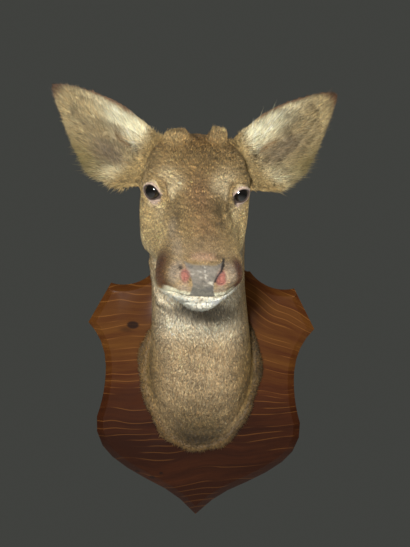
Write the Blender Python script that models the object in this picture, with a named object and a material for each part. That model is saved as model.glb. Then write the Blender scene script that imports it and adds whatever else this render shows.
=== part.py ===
"""A young red deer stag's head and neck, mounted on an oak shield that hangs on a wall.

The frame is in metres with +Z up.  The shield's back lies in the plane Y = 0, against the wall, and the
animal looks along -Y.  The origin is the middle of the shield's back.

The head has a frame of its own, an empty at the point midway between the eyes.  There, x runs across the
head, -y forward along the bridge of the nose, and z up through the crown.
"""

import math

import bmesh
import bpy
import numpy as np
from mathutils import Matrix, Vector

MM = 0.001
GAP = 0.35 * MM  # the clearance between pieces that touch
SIDES = (1, -1)  # the animal's own left, at +X, and its right

# ---------------------------------------------------------------- driving dimensions, in metres

# The shield.
BOARD_THICK = 22 * MM
BOARD_SQUARE_EDGE = 13 * MM  # the part of the edge that is left square, behind the chamfer
BOARD_CHAMFER_WIDTH = 10 * MM
BOARD_EAR_HALF = 169 * MM  # half the width at the two side points
BOARD_TOP = 182 * MM
BOARD_TIP = -193 * MM

# The pose.
EYE_MIDPOINT = Vector((-10, -330, 265)) * MM
NOSE_DOWN = math.radians(30)  # slope of the bridge of the nose below the horizontal
HEAD_TURN = math.radians(4.5)  # the nose is turned to +X

# The head, along the bridge of the nose, in millimetres from the eyes.
NOSE_END = 172
HEAD_BACK = -106

# Eyes, pedicles and ears.
EYE_RADIUS = 14.5 * MM
EYE_PLACE = Vector((51, 10, 1)) * MM
PEDICLE_PLACE = Vector((25, 58, 44)) * MM
PEDICLE_RADIUS = {1: 14.5 * MM, -1: 19 * MM}  # the left one is a knob, the right one a low dome
PEDICLE_HEIGHT = {1: 21 * MM, -1: 18 * MM}
PEDICLE_FLATNESS = {1: 0.42, -1: 0.12}  # the share of the radius that is left level on top
EAR_THICK = 6.5 * MM

# Fixings: x and z on the shield, in millimetres, and the radii of shank and head with the length, in metres.
SCREW_SPOTS = ((0, 88), (-34, -18), (34, -18))
SCREW_SIZE = (2.5 * MM, 5 * MM, 50 * MM)
SCREW_CLEARANCE = 0.3 * MM
HANGER_TOP = 213 * MM  # the plate's lug stands this high, above the top of the shield
HANGER_LENGTH = 54 * MM
HANGER_HALF_WIDTH = 10 * MM
HANGER_THICK = 2 * MM
HANGER_HOLE_RADIUS = 4.5 * MM
HANGER_SCREW_SPOTS = ((0, 181), (0, 167))
HANGER_SCREW_SIZE = (1.6 * MM, 3.2 * MM, 15 * MM)


# ---------------------------------------------------------------- small tools

def smooth_value(knots, at):
    """The height at `at` of a smooth curve through the knots, which are (place, value) pairs."""
    places, values = np.array(sorted(knots), float).T
    slopes = np.gradient(values, places)
    at = min(max(at, places[0]), places[-1])
    i = min(int(np.searchsorted(places, at, side="right")) - 1, len(places) - 2)
    span = places[i + 1] - places[i]
    t = (at - places[i]) / span
    start = values[i] * (2 * t**3 - 3 * t**2 + 1) + slopes[i] * span * (t**3 - 2 * t**2 + t)
    end = values[i + 1] * (3 * t**2 - 2 * t**3) + slopes[i + 1] * span * (t**3 - t**2)
    return float(start + end)


def closed_curve(corners, steps):
    """A smooth closed ring through the corners, with `steps` points for each of them."""
    ring = []
    count = len(corners)
    for i in range(count):
        before, start, end, after = (Vector(corners[(i + k) % count]) for k in (-1, 0, 1, 2))
        for k in range(steps):
            t = k / steps
            ring.append(
                0.5
                * (
                    2 * start
                    + (end - before) * t
                    + (2 * before - 5 * start + 4 * end - after) * t**2
                    + (3 * start - before - 3 * end + after) * t**3
                )
            )
    return ring


def material(name, colour, roughness, metallic=0.0):
    made = bpy.data.materials.get(name)
    if made:
        return made
    made = bpy.data.materials.new(name)
    made.use_nodes = True
    shader = made.node_tree.nodes["Principled BSDF"]
    shader.inputs["Base Color"].default_value = (*colour, 1.0)
    shader.inputs["Roughness"].default_value = roughness
    shader.inputs["Metallic"].default_value = metallic
    return made


def object_from(name, shape, finish, parent=None):
    """Turns a bmesh into a named object with its faces pointing outwards."""
    bmesh.ops.recalc_face_normals(shape, faces=shape.faces)
    mesh = bpy.data.meshes.new(name)
    shape.to_mesh(mesh)
    shape.free()
    made = bpy.data.objects.new(name, mesh)
    bpy.context.scene.collection.objects.link(made)
    made.parent = parent
    if finish:
        mesh.materials.append(finish)
    mesh.shade_smooth()
    mesh.set_sharp_from_angle(angle=math.radians(30))
    return made


def loft(rings):
    """A closed skin over rings of equally many points, capped at both ends with a fan."""
    shape = bmesh.new()
    rows = [[shape.verts.new(point) for point in ring] for ring in rings]
    for lower, upper in zip(rows, rows[1:]):
        for i in range(len(lower)):
            j = (i + 1) % len(lower)
            shape.faces.new((lower[i], lower[j], upper[j], upper[i]))
    for row in (rows[0], rows[-1]):
        middle = shape.verts.new(sum((v.co for v in row), Vector()) / len(row))
        for i in range(len(row)):
            shape.faces.new((row[i], row[(i + 1) % len(row)], middle))
    return shape


def as_cutter(made):
    made.hide_render = True
    made.display_type = "WIRE"
    return made


def swollen(source, gap=GAP):
    """A cutter the shape of `source` as it is evaluated now, grown by the gap on every side."""
    bpy.context.view_layer.update()
    graph = bpy.context.evaluated_depsgraph_get()
    mesh = bpy.data.meshes.new_from_object(source.evaluated_get(graph))
    shape = bmesh.new()
    shape.from_mesh(mesh)
    bpy.data.meshes.remove(mesh)
    shape.normal_update()
    moves = [v.normal * gap for v in shape.verts]
    for vertex, move in zip(shape.verts, moves):
        vertex.co += move
    made = as_cutter(object_from("room_for_" + source.name, shape, None, source.parent))
    made.matrix_world = source.matrix_world
    return made


def boolean(made, other, operation="DIFFERENCE"):
    step = made.modifiers.new(operation.lower() + "_" + other.name, "BOOLEAN")
    step.operation = operation
    step.object = other
    step.solver = "EXACT"
    return made


def prism(name, outline, depth, parent=None):
    """A cutter made of a flat outline in the y, z plane, extruded both ways along x."""
    shape = bmesh.new()
    face = shape.faces.new([shape.verts.new((-depth, y, z)) for y, z in outline])
    pushed = bmesh.ops.extrude_face_region(shape, geom=[face])["geom"]
    moved = [v for v in pushed if isinstance(v, bmesh.types.BMVert)]
    bmesh.ops.translate(shape, verts=moved, vec=(2 * depth, 0, 0))
    return as_cutter(object_from(name, shape, None, parent))


# ---------------------------------------------------------------- finishes

COAT = material("winter_coat", (0.27, 0.18, 0.105), 0.85)
THROAT = material("throat_coat", (0.46, 0.36, 0.24), 0.85)
CHIN = material("white_chin", (0.75, 0.70, 0.58), 0.85)
NOSE_SKIN = material("nose_skin", (0.25, 0.22, 0.21), 0.5)
EAR_COAT = material("ear_coat", (0.42, 0.33, 0.21), 0.85)
RAW_HIDE = material("raw_hide", (0.40, 0.30, 0.17), 0.8)
EYE_GLASS = material("eye_glass", (0.012, 0.010, 0.014), 0.05)
OAK = material("varnished_oak", (0.16, 0.055, 0.022), 0.4)
STEEL = material("zinc_plated_steel", (0.55, 0.55, 0.52), 0.35, 1.0)


# ---------------------------------------------------------------- the head

# Rails that run along the head.  The place is the distance forward of the eyes and the value a height above
# them, or a half width, all in millimetres.
CROWN_HEIGHT = (
    (172, -2), (150, 7), (100, 17), (50, 28), (0, 39), (-32, 49), (-62, 52), (-88, 45), (-106, 34),
)
BRIDGE_HEIGHT = (
    (172, -5), (150, 3), (100, 12), (50, 21), (12, 28), (-15, 35), (-60, 42), (-88, 34), (-106, 24),
)
BRIDGE_WIDTH = (
    (172, 17), (150, 19), (100, 22), (60, 25), (32, 28), (14, 34), (2, 42), (-10, 50), (-32, 54), (-70, 44),
    (-106, 30),
)
SIDE_HEIGHT = ((172, -17), (140, -18), (100, -13), (50, -4), (0, 6), (-40, 6), (-106, -5))
SIDE_WIDTH = (
    (172, 33), (157, 41), (130, 45), (95, 43), (60, 40), (34, 39), (15, 42), (3, 51), (-8, 61), (-18, 67),
    (-30, 69), (-60, 66), (-106, 50),
)
CHEEK_HEIGHT = ((172, -35), (140, -40), (80, -42), (30, -50), (-20, -64), (-60, -68), (-106, -50))
CHEEK_WIDTH = (
    (172, 31), (152, 45), (125, 50), (95, 50), (60, 52), (30, 57), (0, 64), (-20, 68), (-45, 69),
    (-75, 64), (-106, 50),
)
JAW_HEIGHT = (
    (172, -60), (140, -73), (90, -74), (40, -80), (0, -90), (-30, -97), (-60, -95), (-106, -66),
)
JAW_WIDTH = ((172, 18), (150, 27), (110, 30), (60, 37), (20, 48), (-20, 57), (-55, 58), (-106, 40))
KEEL_HEIGHT = (
    (172, -70), (145, -85), (100, -82), (50, -88), (0, -99), (-30, -106), (-60, -104), (-106, -76),
)

HEAD_STATIONS = [*range(HEAD_BACK, -36, 14), *range(-36, 25, 12), *range(38, 135, 16)]
HEAD_STATIONS += [148, 160, 168, NOSE_END]
CHIN_RETREAT = 0.34  # how far the chin slopes back for each millimetre below the lip


def head_ring(station, shrink=1.0, forward=0.0):
    """The head's cross-section at a station, shrunk towards its middle where the form closes."""
    rails = (
        (0, smooth_value(CROWN_HEIGHT, station)),
        (smooth_value(BRIDGE_WIDTH, station), smooth_value(BRIDGE_HEIGHT, station)),
        (smooth_value(SIDE_WIDTH, station), smooth_value(SIDE_HEIGHT, station)),
        (smooth_value(CHEEK_WIDTH, station), smooth_value(CHEEK_HEIGHT, station)),
        (smooth_value(JAW_WIDTH, station), smooth_value(JAW_HEIGHT, station)),
        (0, smooth_value(KEEL_HEIGHT, station)),
    )
    half = [Vector((x, 0, z)) for x, z in rails]
    other_half = [Vector((-p.x, 0, p.z)) for p in half[-2:0:-1]]
    ring = closed_curve(half + other_half, 3)
    middle = Vector((0, 0, (rails[0][1] + rails[-1][1]) / 2))
    near_nose = min(max((station - 95) / 60, 0), 1)
    for point in ring:
        point.xyz = middle + (point - middle) * shrink
        retreat = CHIN_RETREAT * near_nose * max(-30 - point.z, 0)
        point.y = -(station + forward - retreat)
    return [point * MM for point in ring]


def head_solid(parent):
    rings = [head_ring(HEAD_BACK, math.cos(a) ** 0.7, -14 * math.sin(a)) for a in (1.35, 1.0, 0.55)]
    rings += [head_ring(station) for station in HEAD_STATIONS]
    rings += [head_ring(NOSE_END, math.cos(a) ** 0.6, 9 * math.sin(a)) for a in (0.5, 0.9, 1.25, 1.45)]
    return object_from("head", loft(rings), COAT, parent)


def eye(side, parent):
    shape = bmesh.new()
    bmesh.ops.create_uvsphere(shape, u_segments=18, v_segments=10, radius=EYE_RADIUS)
    made = object_from("eye_" + side_name(side), shape, EYE_GLASS, parent)
    made.location = mirrored(EYE_PLACE, side)
    return made


def side_name(side):
    return "left" if side > 0 else "right"


def mirrored(point, side):
    return Vector((point.x * side, point.y, point.z))


# The mouth and nose, in millimetres in the head's frame.
NOSTRIL_SIZE = (5.5, 10, 8.5)
NOSTRIL_PLACE = (20, -176, -17)
MOUTH_CORNER = -92
MOUTH_HEIGHT = {"corner": -42, "front": -44.5}
PAD_TOP = (21, -4)  # half its width, and its height
PAD_WAIST = (12, -24)
PAD_LIP = (14, -44)
PAD_BACK = -161
CLEAR_OF_HEAD = {"front": -200, "below": -120}


def nostril_cutter(side, parent):
    shape = bmesh.new()
    bmesh.ops.create_icosphere(shape, subdivisions=2, radius=1.0)
    bmesh.ops.scale(shape, verts=shape.verts, vec=Vector(NOSTRIL_SIZE) * MM)
    made = as_cutter(object_from("nostril_" + side_name(side), shape, None, parent))
    made.location = mirrored(Vector(NOSTRIL_PLACE) * MM, side)
    made.rotation_euler = (0, math.radians(22) * side, math.radians(-20) * side)
    return made


def jaw_block(name, gap, parent):
    """The space under the mouth line: forward of the corner of the mouth and below the lips."""
    corner, front, below = MOUTH_CORNER - gap, CLEAR_OF_HEAD["front"], CLEAR_OF_HEAD["below"]
    lip_back, lip_front = (MOUTH_HEIGHT[end] - gap for end in ("corner", "front"))
    outline = ((corner, lip_back), (corner, below), (front, below), (front, lip_front), (-150, lip_front))
    return prism(name, [(y * MM, z * MM) for y, z in outline], 70 * MM, parent)


def nose_block(name, gap, parent):
    """The space of the bare pad, a wedge that is wide above the nostrils and narrow at the lip."""
    (top_x, top_z), (lip_x, lip_z) = PAD_TOP, PAD_LIP
    outline = ((top_x + gap, top_z + gap), (PAD_WAIST[0] + gap, PAD_WAIST[1]), (lip_x + gap, lip_z - gap))
    shape = bmesh.new()
    for y in (PAD_BACK + gap, CLEAR_OF_HEAD["front"]):
        for x, z in outline:
            for side in (1, -1):
                shape.verts.new(Vector((x * side, y, z)) * MM)
    bmesh.ops.convex_hull(shape, input=shape.verts)
    return as_cutter(object_from(name, shape, None, parent))


def pedicle(side, parent):
    """A short skin-covered stump, turned from a profile with a rounded shoulder."""
    radius, height, flat = PEDICLE_RADIUS[side], PEDICLE_HEIGHT[side], PEDICLE_FLATNESS[side]
    steps = 6
    profile = [(1.2, -0.6), (1.08, -0.1), (0.97, 0.4)]
    for k in range(1, steps + 1):
        turn = math.pi / 2 * k / steps
        profile.append((flat + (0.93 - flat) * math.cos(turn), 0.5 + 0.5 * math.sin(turn)))
    turns = [math.tau * i / 18 for i in range(18)]
    rings = []
    for reach, rise in profile:
        across = radius * max(reach, 0.1)
        rings.append([Vector((across * math.cos(a), across * math.sin(a), height * rise)) for a in turns])
    made = object_from("pedicle_" + side_name(side), loft(rings), COAT, parent)
    made.location = mirrored(PEDICLE_PLACE, side)
    made.rotation_euler = (math.radians(-24), math.radians(9) * side, 0)
    return made


# The ear: distance along it from its root and the height of each edge above its axis, in millimetres.
EAR_UPPER_EDGE = (
    (-14, 20), (8, 27), (35, 31), (62, 33), (88, 31), (112, 25), (135, 17.5), (152, 10), (163, 2),
)
EAR_LOWER_EDGE = (
    (-14, -26), (5, -48), (30, -61), (58, -60), (85, -52), (112, -39), (135, -25), (152, -14),
    (163, -5),
)
EAR_CUP = ((-14, 20), (15, 29), (45, 27), (85, 17), (125, 9), (163, 2))  # how deep the ear is hollowed
EAR_END = 163
EAR_STATIONS = (-14, 0, 14, 28, 44, 60, 76, 92, 108, 122, 135, 146, 155, 161, 165)
EAR_ROOT = Vector((54, 52, 22)) * MM
EAR_TIP = {1: Vector((180, 123, 92)) * MM, -1: Vector((188, 123, 92)) * MM}
EAR_FACING = Vector((0.08, -0.87, 0.52))


def ear(side, parent):
    """A cupped leaf, hollow to the front, thickest at its middle and thin at its edges."""
    across_steps = 10
    rings = []
    for station in EAR_STATIONS:
        reach = min(station, EAR_END)
        upper, lower = smooth_value(EAR_UPPER_EDGE, reach), smooth_value(EAR_LOWER_EDGE, reach)
        cup = smooth_value(EAR_CUP, reach)
        if station > EAR_END:
            middle = (upper + lower) / 2
            upper, lower = middle + 1.2, middle - 1.2
        front, back = [], []
        for k in range(across_steps + 1):
            v = 2 * k / across_steps - 1
            height = (upper + lower) / 2 + v * (upper - lower) / 2
            depth = cup * (1 - abs(v) ** 2.3)
            half_thick = EAR_THICK / MM / 2 * (0.35 + 0.65 * math.sqrt(max(1 - v * v, 0)))
            front.append(Vector((station, depth - half_thick, height)))
            back.append(Vector((station, depth + half_thick, height)))
        rings.append([point * MM for point in front + back[::-1]])
    made = object_from("ear_" + side_name(side), loft(rings), EAR_COAT, parent)
    along = (EAR_TIP[side] - EAR_ROOT).normalized()
    depth = -(EAR_FACING - along * EAR_FACING.dot(along)).normalized()
    height = along.cross(depth)
    turn = Matrix((along, depth, height)).transposed().to_4x4()
    made.data.transform(Matrix.Translation(EAR_ROOT) @ turn)
    if side < 0:
        made.data.transform(Matrix.Scale(-1, 4, (1, 0, 0)))
        made.data.flip_normals()
    return made


# ---------------------------------------------------------------- the neck

# Lines down the neck.  The place runs from 0 inside the head to 1 at the shield; distances in millimetres.
NAPE_OUT = ((0, 285), (0.15, 258), (0.3, 216), (0.5, 156), (0.7, 98), (0.87, 50), (1, 22.4))
NAPE_HEIGHT = ((0, 310), (0.15, 336), (0.3, 321), (0.5, 264), (0.7, 201), (0.87, 152), (1, 130))
THROAT_OUT = ((0, 285), (0.15, 262), (0.3, 240), (0.5, 200), (0.7, 148), (0.87, 85), (1, 22.4))
THROAT_HEIGHT = ((0, 250), (0.15, 200), (0.3, 148), (0.5, 76), (0.7, 3), (0.87, -56), (1, -92))
NECK_WIDTH = ((0, 44), (0.15, 62), (0.3, 67), (0.5, 66), (0.7, 70), (0.87, 76), (1, 79))
NECK_SWAY = ((0, -17), (0.3, -11), (0.6, -5), (0.85, 0), (1, 0))
NECK_RINGS = 15
NECK_SIDES = 30


def neck_ring(place):
    nape = Vector((0, -smooth_value(NAPE_OUT, place), smooth_value(NAPE_HEIGHT, place)))
    throat = Vector((0, -smooth_value(THROAT_OUT, place), smooth_value(THROAT_HEIGHT, place)))
    middle = (nape + throat) / 2 + Vector((smooth_value(NECK_SWAY, place), 0, 0))
    half_height = (nape - throat) / 2
    half_width = smooth_value(NECK_WIDTH, place)
    ring = []
    for i in range(NECK_SIDES):
        turn = math.tau * i / NECK_SIDES
        across, up = math.cos(turn), math.sin(turn)
        ring.append((middle + Vector((half_width * across * egg(up, place), 0, 0)) + half_height * up) * MM)
    return ring


def egg(up, share=1.0):
    """Pinches the lower half of a section in a little, towards the throat."""
    return 1 - 0.10 * share * max(-up, 0) ** 2


def neck_solid():
    rings = [neck_ring(i / NECK_RINGS) for i in range(NECK_RINGS + 1)]
    return object_from("neck", loft(rings), THROAT)


# The hide's cut edge lies on the shield round the neck as a wavy welt, in millimetres.
HEM_SECTION = 7
HEM_TURNS = 44
HEM_THICK = 10.5
HEM_HALF_WIDE = 6.6
HEM_NARROWER_BELOW = 3.2
HEM_NARROWER_ABOVE = 2.0
HEM_TUCK = 1.5  # how far its inner edge reaches under the neck's surface


def hem_row(turn, middle, half_width, half_height):
    """One cross-section of the welt: an oval with its underside pressed flat on the shield."""
    across, up = math.cos(turn), math.sin(turn)
    edge = middle + Vector((half_width * across * egg(up), 0, half_height * up))
    outward = Vector((across / half_width, 0, up / half_height)).normalized()
    wave = 1.3 * math.sin(5 * turn) + 0.9 * math.sin(11 * turn + 1)
    wide = HEM_HALF_WIDE + wave - HEM_NARROWER_BELOW * max(-up, 0) - HEM_NARROWER_ABOVE * max(up, 0)
    thick = (HEM_THICK + 0.6 * wave) / 2
    row = []
    for k in range(HEM_SECTION):
        around = math.tau * k / HEM_SECTION
        out = wide * (1 + math.cos(around)) - HEM_TUCK
        off = thick * (math.sin(around) - math.sin(math.tau * round(0.75 * HEM_SECTION) / HEM_SECTION))
        row.append((edge + outward * out) * MM + Vector((0, -BOARD_THICK - GAP - off * MM, 0)))
    return row


def hem_solid():
    middle = Vector((0, 0, (smooth_value(NAPE_HEIGHT, 1) + smooth_value(THROAT_HEIGHT, 1)) / 2))
    half_height = (smooth_value(NAPE_HEIGHT, 1) - smooth_value(THROAT_HEIGHT, 1)) / 2
    turns = [math.tau * i / HEM_TURNS for i in range(HEM_TURNS)]
    rows = [hem_row(turn, middle, smooth_value(NECK_WIDTH, 1), half_height) for turn in turns]
    shape = bmesh.new()
    rows = [[shape.verts.new(point) for point in row] for row in rows]
    for this, after in zip(rows, rows[1:] + rows[:1]):
        for k in range(HEM_SECTION):
            m = (k + 1) % HEM_SECTION
            shape.faces.new((this[k], this[m], after[m], after[k]))
    return object_from("hide_hem", shape, RAW_HIDE)


# ---------------------------------------------------------------- the shield

def arc(centre, radius, start, end, steps):
    """Points of a circular arc in the x, z plane, angles in degrees."""
    angles = [math.radians(start + (end - start) * k / steps) for k in range(steps + 1)]
    return [(centre[0] + radius * math.cos(a), centre[1] + radius * math.sin(a)) for a in angles]


def bow(start, end, sag, steps):
    """Points of a shallow curve between two corners; the sag is to the left of the way it runs."""
    (x0, z0), (x1, z1) = start, end
    length = math.hypot(x1 - x0, z1 - z0)
    left = (-(z1 - z0) / length, (x1 - x0) / length)
    points = []
    for k in range(steps + 1):
        t = k / steps
        lift = 4 * sag * t * (1 - t)
        points.append((x0 + (x1 - x0) * t + left[0] * lift, z0 + (z1 - z0) * t + left[1] * lift))
    return points


def board_half():
    """The right half of the outline, from the top of the lobe down to the tip, in millimetres."""
    ear_half, top, tip = BOARD_EAR_HALF / MM, BOARD_TOP / MM, BOARD_TIP / MM
    shoulder = (137, 149)
    side_point = (ear_half, 89)
    waist = (141, 25)
    belly = (152, -52)
    lobe = bow((0, top + 10), (66, 172), 3, 6)
    scoop = arc((121, 209.5), 63, 216, 284, 12)
    hollow = [side_point, (158, 76), (149, 60), (143.5, 43), waist]
    flank = bow(waist, belly, -3.5, 6)
    lower = [belly, (151, -74), (142, -95), (127, -111), (104, -127), (76, -142), (47, -156), (24, -171)]
    return lobe + scoop + [shoulder] + hollow + flank[1:] + lower[1:] + [(0, tip)]


def board_solid():
    right = board_half()
    outline = right + [(-x, z) for x, z in right[-2:0:-1]]
    shape = bmesh.new()
    back = shape.faces.new([shape.verts.new((x * MM, 0, z * MM)) for x, z in outline])
    bmesh.ops.recalc_face_normals(shape, faces=[back])
    pushed = bmesh.ops.extrude_face_region(shape, geom=[back])["geom"]
    moved = [v for v in pushed if isinstance(v, bmesh.types.BMVert)]
    bmesh.ops.translate(shape, verts=moved, vec=(0, -BOARD_SQUARE_EDGE, 0))
    front = [f for f in pushed if isinstance(f, bmesh.types.BMFace)]
    bmesh.ops.recalc_face_normals(shape, faces=shape.faces)
    rise, width = BOARD_THICK - BOARD_SQUARE_EDGE, BOARD_CHAMFER_WIDTH
    bmesh.ops.inset_region(shape, faces=front, thickness=width, depth=rise, use_even_offset=True)
    return object_from("board", shape, OAK)


# ---------------------------------------------------------------- fixings

def turned(name, profile, sides, finish):
    """A solid turned about the y axis from (radius, y) pairs, closed at both ends."""
    rings = []
    for radius, y in profile:
        turns = [math.tau * i / sides for i in range(sides)]
        rings.append([Vector((radius * math.cos(a), y, radius * math.sin(a))) for a in turns])
    return object_from(name, loft(rings), finish)


def screw(name, spot, size, finish=STEEL, grow=0.0):
    """A countersunk screw driven from the back; grown, it is the hole that the screw needs."""
    shank, head, length = size
    top = 1 * MM if grow else -0.5 * MM
    profile = [
        (head + grow, top),
        (head + grow, -0.9 * MM),
        (shank + grow, -0.9 * MM - (head - shank)),
        (shank + grow, -0.86 * length - grow),
        (shank * 0.25 + grow, -length - grow),
    ]
    made = turned(name, profile, 12, finish)
    made.location = (spot[0] * MM, 0, spot[1] * MM)
    return made


def screw_hole(name, spot, size):
    return as_cutter(screw("hole_for_" + name, spot, size, None, SCREW_CLEARANCE))


def slab(name, half_x, half_z, front, back, finish=None):
    """A plate in the x, z plane with fully rounded ends above and below."""
    straight = half_z - half_x
    upper = arc((0, straight), half_x, 0, 180, 8)
    lower = arc((0, -straight), half_x, 180, 360, 8)
    shape = bmesh.new()
    face = shape.faces.new([shape.verts.new((x, back, z)) for x, z in upper + lower])
    pushed = bmesh.ops.extrude_face_region(shape, geom=[face])["geom"]
    moved = [v for v in pushed if isinstance(v, bmesh.types.BMVert)]
    bmesh.ops.translate(shape, verts=moved, vec=(0, front - back, 0))
    made = object_from(name, shape, finish)
    made.location.z = HANGER_TOP - HANGER_LENGTH / 2
    return made


def hanger_plate():
    """A steel plate let into the back of the shield; its lug stands above it and hooks on a screw."""
    face = -0.2 * MM
    plate = slab("hanger_plate", HANGER_HALF_WIDTH, HANGER_LENGTH / 2, face - HANGER_THICK, face, STEEL)
    wall = [(HANGER_HOLE_RADIUS, 1 * MM), (HANGER_HOLE_RADIUS, -6 * MM)]
    hole = as_cutter(turned("hanger_hole", wall, 20, None))
    hole.location.z = HANGER_TOP - HANGER_HALF_WIDTH
    boolean(plate, hole)
    half_x, half_z = HANGER_HALF_WIDTH + GAP, HANGER_LENGTH / 2 + GAP
    recess = as_cutter(slab("hanger_recess", half_x, half_z, face - HANGER_THICK - GAP, 1 * MM))
    return plate, recess


# ---------------------------------------------------------------- assembly

def clear_scene():
    for old in list(bpy.data.objects):
        bpy.data.objects.remove(old)


def build_head():
    axis = bpy.data.objects.new("head_axis", None)
    bpy.context.scene.collection.objects.link(axis)
    axis.location = EYE_MIDPOINT
    axis.rotation_euler = (NOSE_DOWN, 0, HEAD_TURN)
    head = head_solid(axis)
    for side in SIDES:
        boolean(head, swollen(eye(side, axis)))
        boolean(head, nostril_cutter(side, axis))
    whole = swollen(head, 0.0)
    boolean(head, jaw_block("under_the_mouth", 0.0, axis))
    boolean(head, nose_block("round_the_nose", 0.35, axis))
    jaw = copy_of(whole, "lower_jaw", CHIN)
    boolean(jaw, jaw_block("jaw_space", 0.35, axis), "INTERSECT")
    nose = copy_of(whole, "nose", NOSE_SKIN)
    boolean(nose, nose_block("nose_space", 0.0, axis), "INTERSECT")
    boolean(nose, jaw_block("under_the_nose", -0.35, axis))
    return axis, whole


def copy_of(source, name, finish):
    made = bpy.data.objects.new(name, source.data.copy())
    bpy.context.scene.collection.objects.link(made)
    made.parent = source.parent
    made.data.materials.clear()
    made.data.materials.append(finish)
    return made


def build():
    clear_scene()
    axis, whole = build_head()
    round_the_head = swollen(whole)
    for side in SIDES:
        stump = boolean(pedicle(side, axis), round_the_head)
        leaf = boolean(ear(side, axis), round_the_head)
        boolean(leaf, swollen(stump))
    neck = boolean(neck_solid(), round_the_head)
    boolean(hem_solid(), swollen(neck))
    board = board_solid()
    for number, spot in enumerate(SCREW_SPOTS, start=1):
        name = f"fixing_screw_{number}"
        screw(name, spot, SCREW_SIZE)
        hole = screw_hole(name, spot, SCREW_SIZE)
        boolean(board, hole)
        boolean(neck, hole)
    plate, recess = hanger_plate()
    boolean(board, recess)
    for number, spot in enumerate(HANGER_SCREW_SPOTS, start=1):
        name = f"hanger_screw_{number}"
        screw(name, spot, HANGER_SCREW_SIZE)
        hole = screw_hole(name, spot, HANGER_SCREW_SIZE)
        boolean(board, hole)
        boolean(plate, hole)


build()
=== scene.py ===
# %% [markdown]
# # A young stag's head on an oak shield
#
# This file dresses a plain model of a mounted red deer head.  The plain model gives the sizes.  Here the
# head and neck get one continuous skin with lids, nostrils and folds, a coat of short hair, glass eyes
# and a varnished shield.  All lengths are in metres unless a name or a comment says millimetres.

import math

import bpy
import numpy as np
from mathutils import Euler, Matrix, Vector
from mathutils.bvhtree import BVHTree


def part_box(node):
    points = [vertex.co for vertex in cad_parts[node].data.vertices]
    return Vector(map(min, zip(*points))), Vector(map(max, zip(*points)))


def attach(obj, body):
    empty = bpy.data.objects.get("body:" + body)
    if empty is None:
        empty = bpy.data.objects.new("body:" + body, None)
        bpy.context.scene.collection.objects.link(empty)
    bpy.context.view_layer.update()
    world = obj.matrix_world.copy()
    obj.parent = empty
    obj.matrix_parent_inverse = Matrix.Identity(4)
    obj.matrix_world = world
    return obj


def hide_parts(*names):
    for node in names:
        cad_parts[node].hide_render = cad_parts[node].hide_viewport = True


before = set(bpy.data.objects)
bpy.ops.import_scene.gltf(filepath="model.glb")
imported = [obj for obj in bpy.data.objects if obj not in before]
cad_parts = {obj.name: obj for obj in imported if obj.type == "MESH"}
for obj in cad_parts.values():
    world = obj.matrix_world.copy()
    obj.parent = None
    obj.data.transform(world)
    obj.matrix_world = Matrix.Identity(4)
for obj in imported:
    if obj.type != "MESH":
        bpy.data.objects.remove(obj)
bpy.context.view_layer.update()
MM = 0.001

# %% [markdown]
# ## The camera
#
# The camera stands just under two metres in front of the shield, level with the neck, and is rolled by a
# hair.  A long lens keeps the ears and the nose in their true proportion.

# %% Camera
CAMERA_AWAY = 1.896  # from the front of the shield
CAMERA_SIDE, CAMERA_HEIGHT = 0.003, 0.167
CAMERA_ROLL = -1.8  # degrees
LENS = 83.8  # millimetres, on Blender's usual 36 mm film


def new_object(name, data):
    made = bpy.data.objects.new(name, data)
    bpy.context.scene.collection.objects.link(made)
    return made


camera = new_object("portrait_camera", bpy.data.cameras.new("portrait_camera"))
camera.data.lens = LENS
camera.location = (CAMERA_SIDE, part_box("board")[0].y - CAMERA_AWAY, CAMERA_HEIGHT)
camera.rotation_euler = (math.radians(90), math.radians(CAMERA_ROLL), 0)
bpy.context.scene.camera = camera
bpy.context.scene.view_settings.view_transform = "Standard"
print("camera at", tuple(round(v, 3) for v in camera.location))

# %% [markdown]
# ## Two places to measure from
#
# The board and the neck are measured in the room's own axes.  The face is measured from the point midway
# between the eyes, because the head hangs at a slant and is turned a little: there x runs across the
# head, -y forward along the nose, and z up through the crown, all in millimetres.

# %% The head's own axes
EYE_MIDPOINT = Vector((-10, -330, 265)) * MM
HEAD_AXES = np.array(Euler((math.radians(30), 0, math.radians(4.5))).to_matrix())


def to_head(points):
    return (points - np.array(EYE_MIDPOINT)) @ HEAD_AXES / MM


def to_room(points):
    return points * MM @ HEAD_AXES.T + np.array(EYE_MIDPOINT)


# %% [markdown]
# ## One skin from many solids
#
# The plain model has a head, jaw, nose, neck and ears as separate solids.  A real hide is one piece, so
# copies of them are swollen until they overlap, joined, and rebuilt as one even net by a voxel remesh.
# The same could be modelled by hand, but hair needs an even skin, and this keeps it even.

# %% Small tools for selecting and merging
WELD = 0.00001  # corners closer than this are one


def select_only(*objects):
    for o in bpy.context.selected_objects:
        o.select_set(False)
    for o in objects:
        o.select_set(True)
    bpy.context.view_layer.objects.active = objects[0]


def edit_all(made, operator, **settings):
    """Runs one operator of the edit mode on the whole of an object."""
    select_only(made)
    bpy.ops.object.mode_set(mode="EDIT")
    bpy.ops.mesh.select_all(action="SELECT")
    operator(**settings)
    bpy.ops.object.mode_set(mode="OBJECT")


def merged_copy(node, name):
    """A copy of a plain solid whose loose triangles are sewn together."""
    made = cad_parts[node].copy()
    made.data = made.data.copy()
    made.name = name
    for key in list(made.keys()):
        del made[key]
    made.parent = None
    bpy.context.scene.collection.objects.link(made)
    edit_all(made, bpy.ops.mesh.remove_doubles, threshold=WELD)
    return made


print("plain solids:", len(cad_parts))


# %% Small tools for reading and moving corners
def rows_of(items, name, width, kind=float):
    """One row of numbers for each item of a mesh."""
    found = np.empty(len(items) * width, kind)
    items.foreach_get(name, found)
    return found.reshape(-1, width)


def points_of(mesh):
    return rows_of(mesh.vertices, "co", 3)


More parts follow.
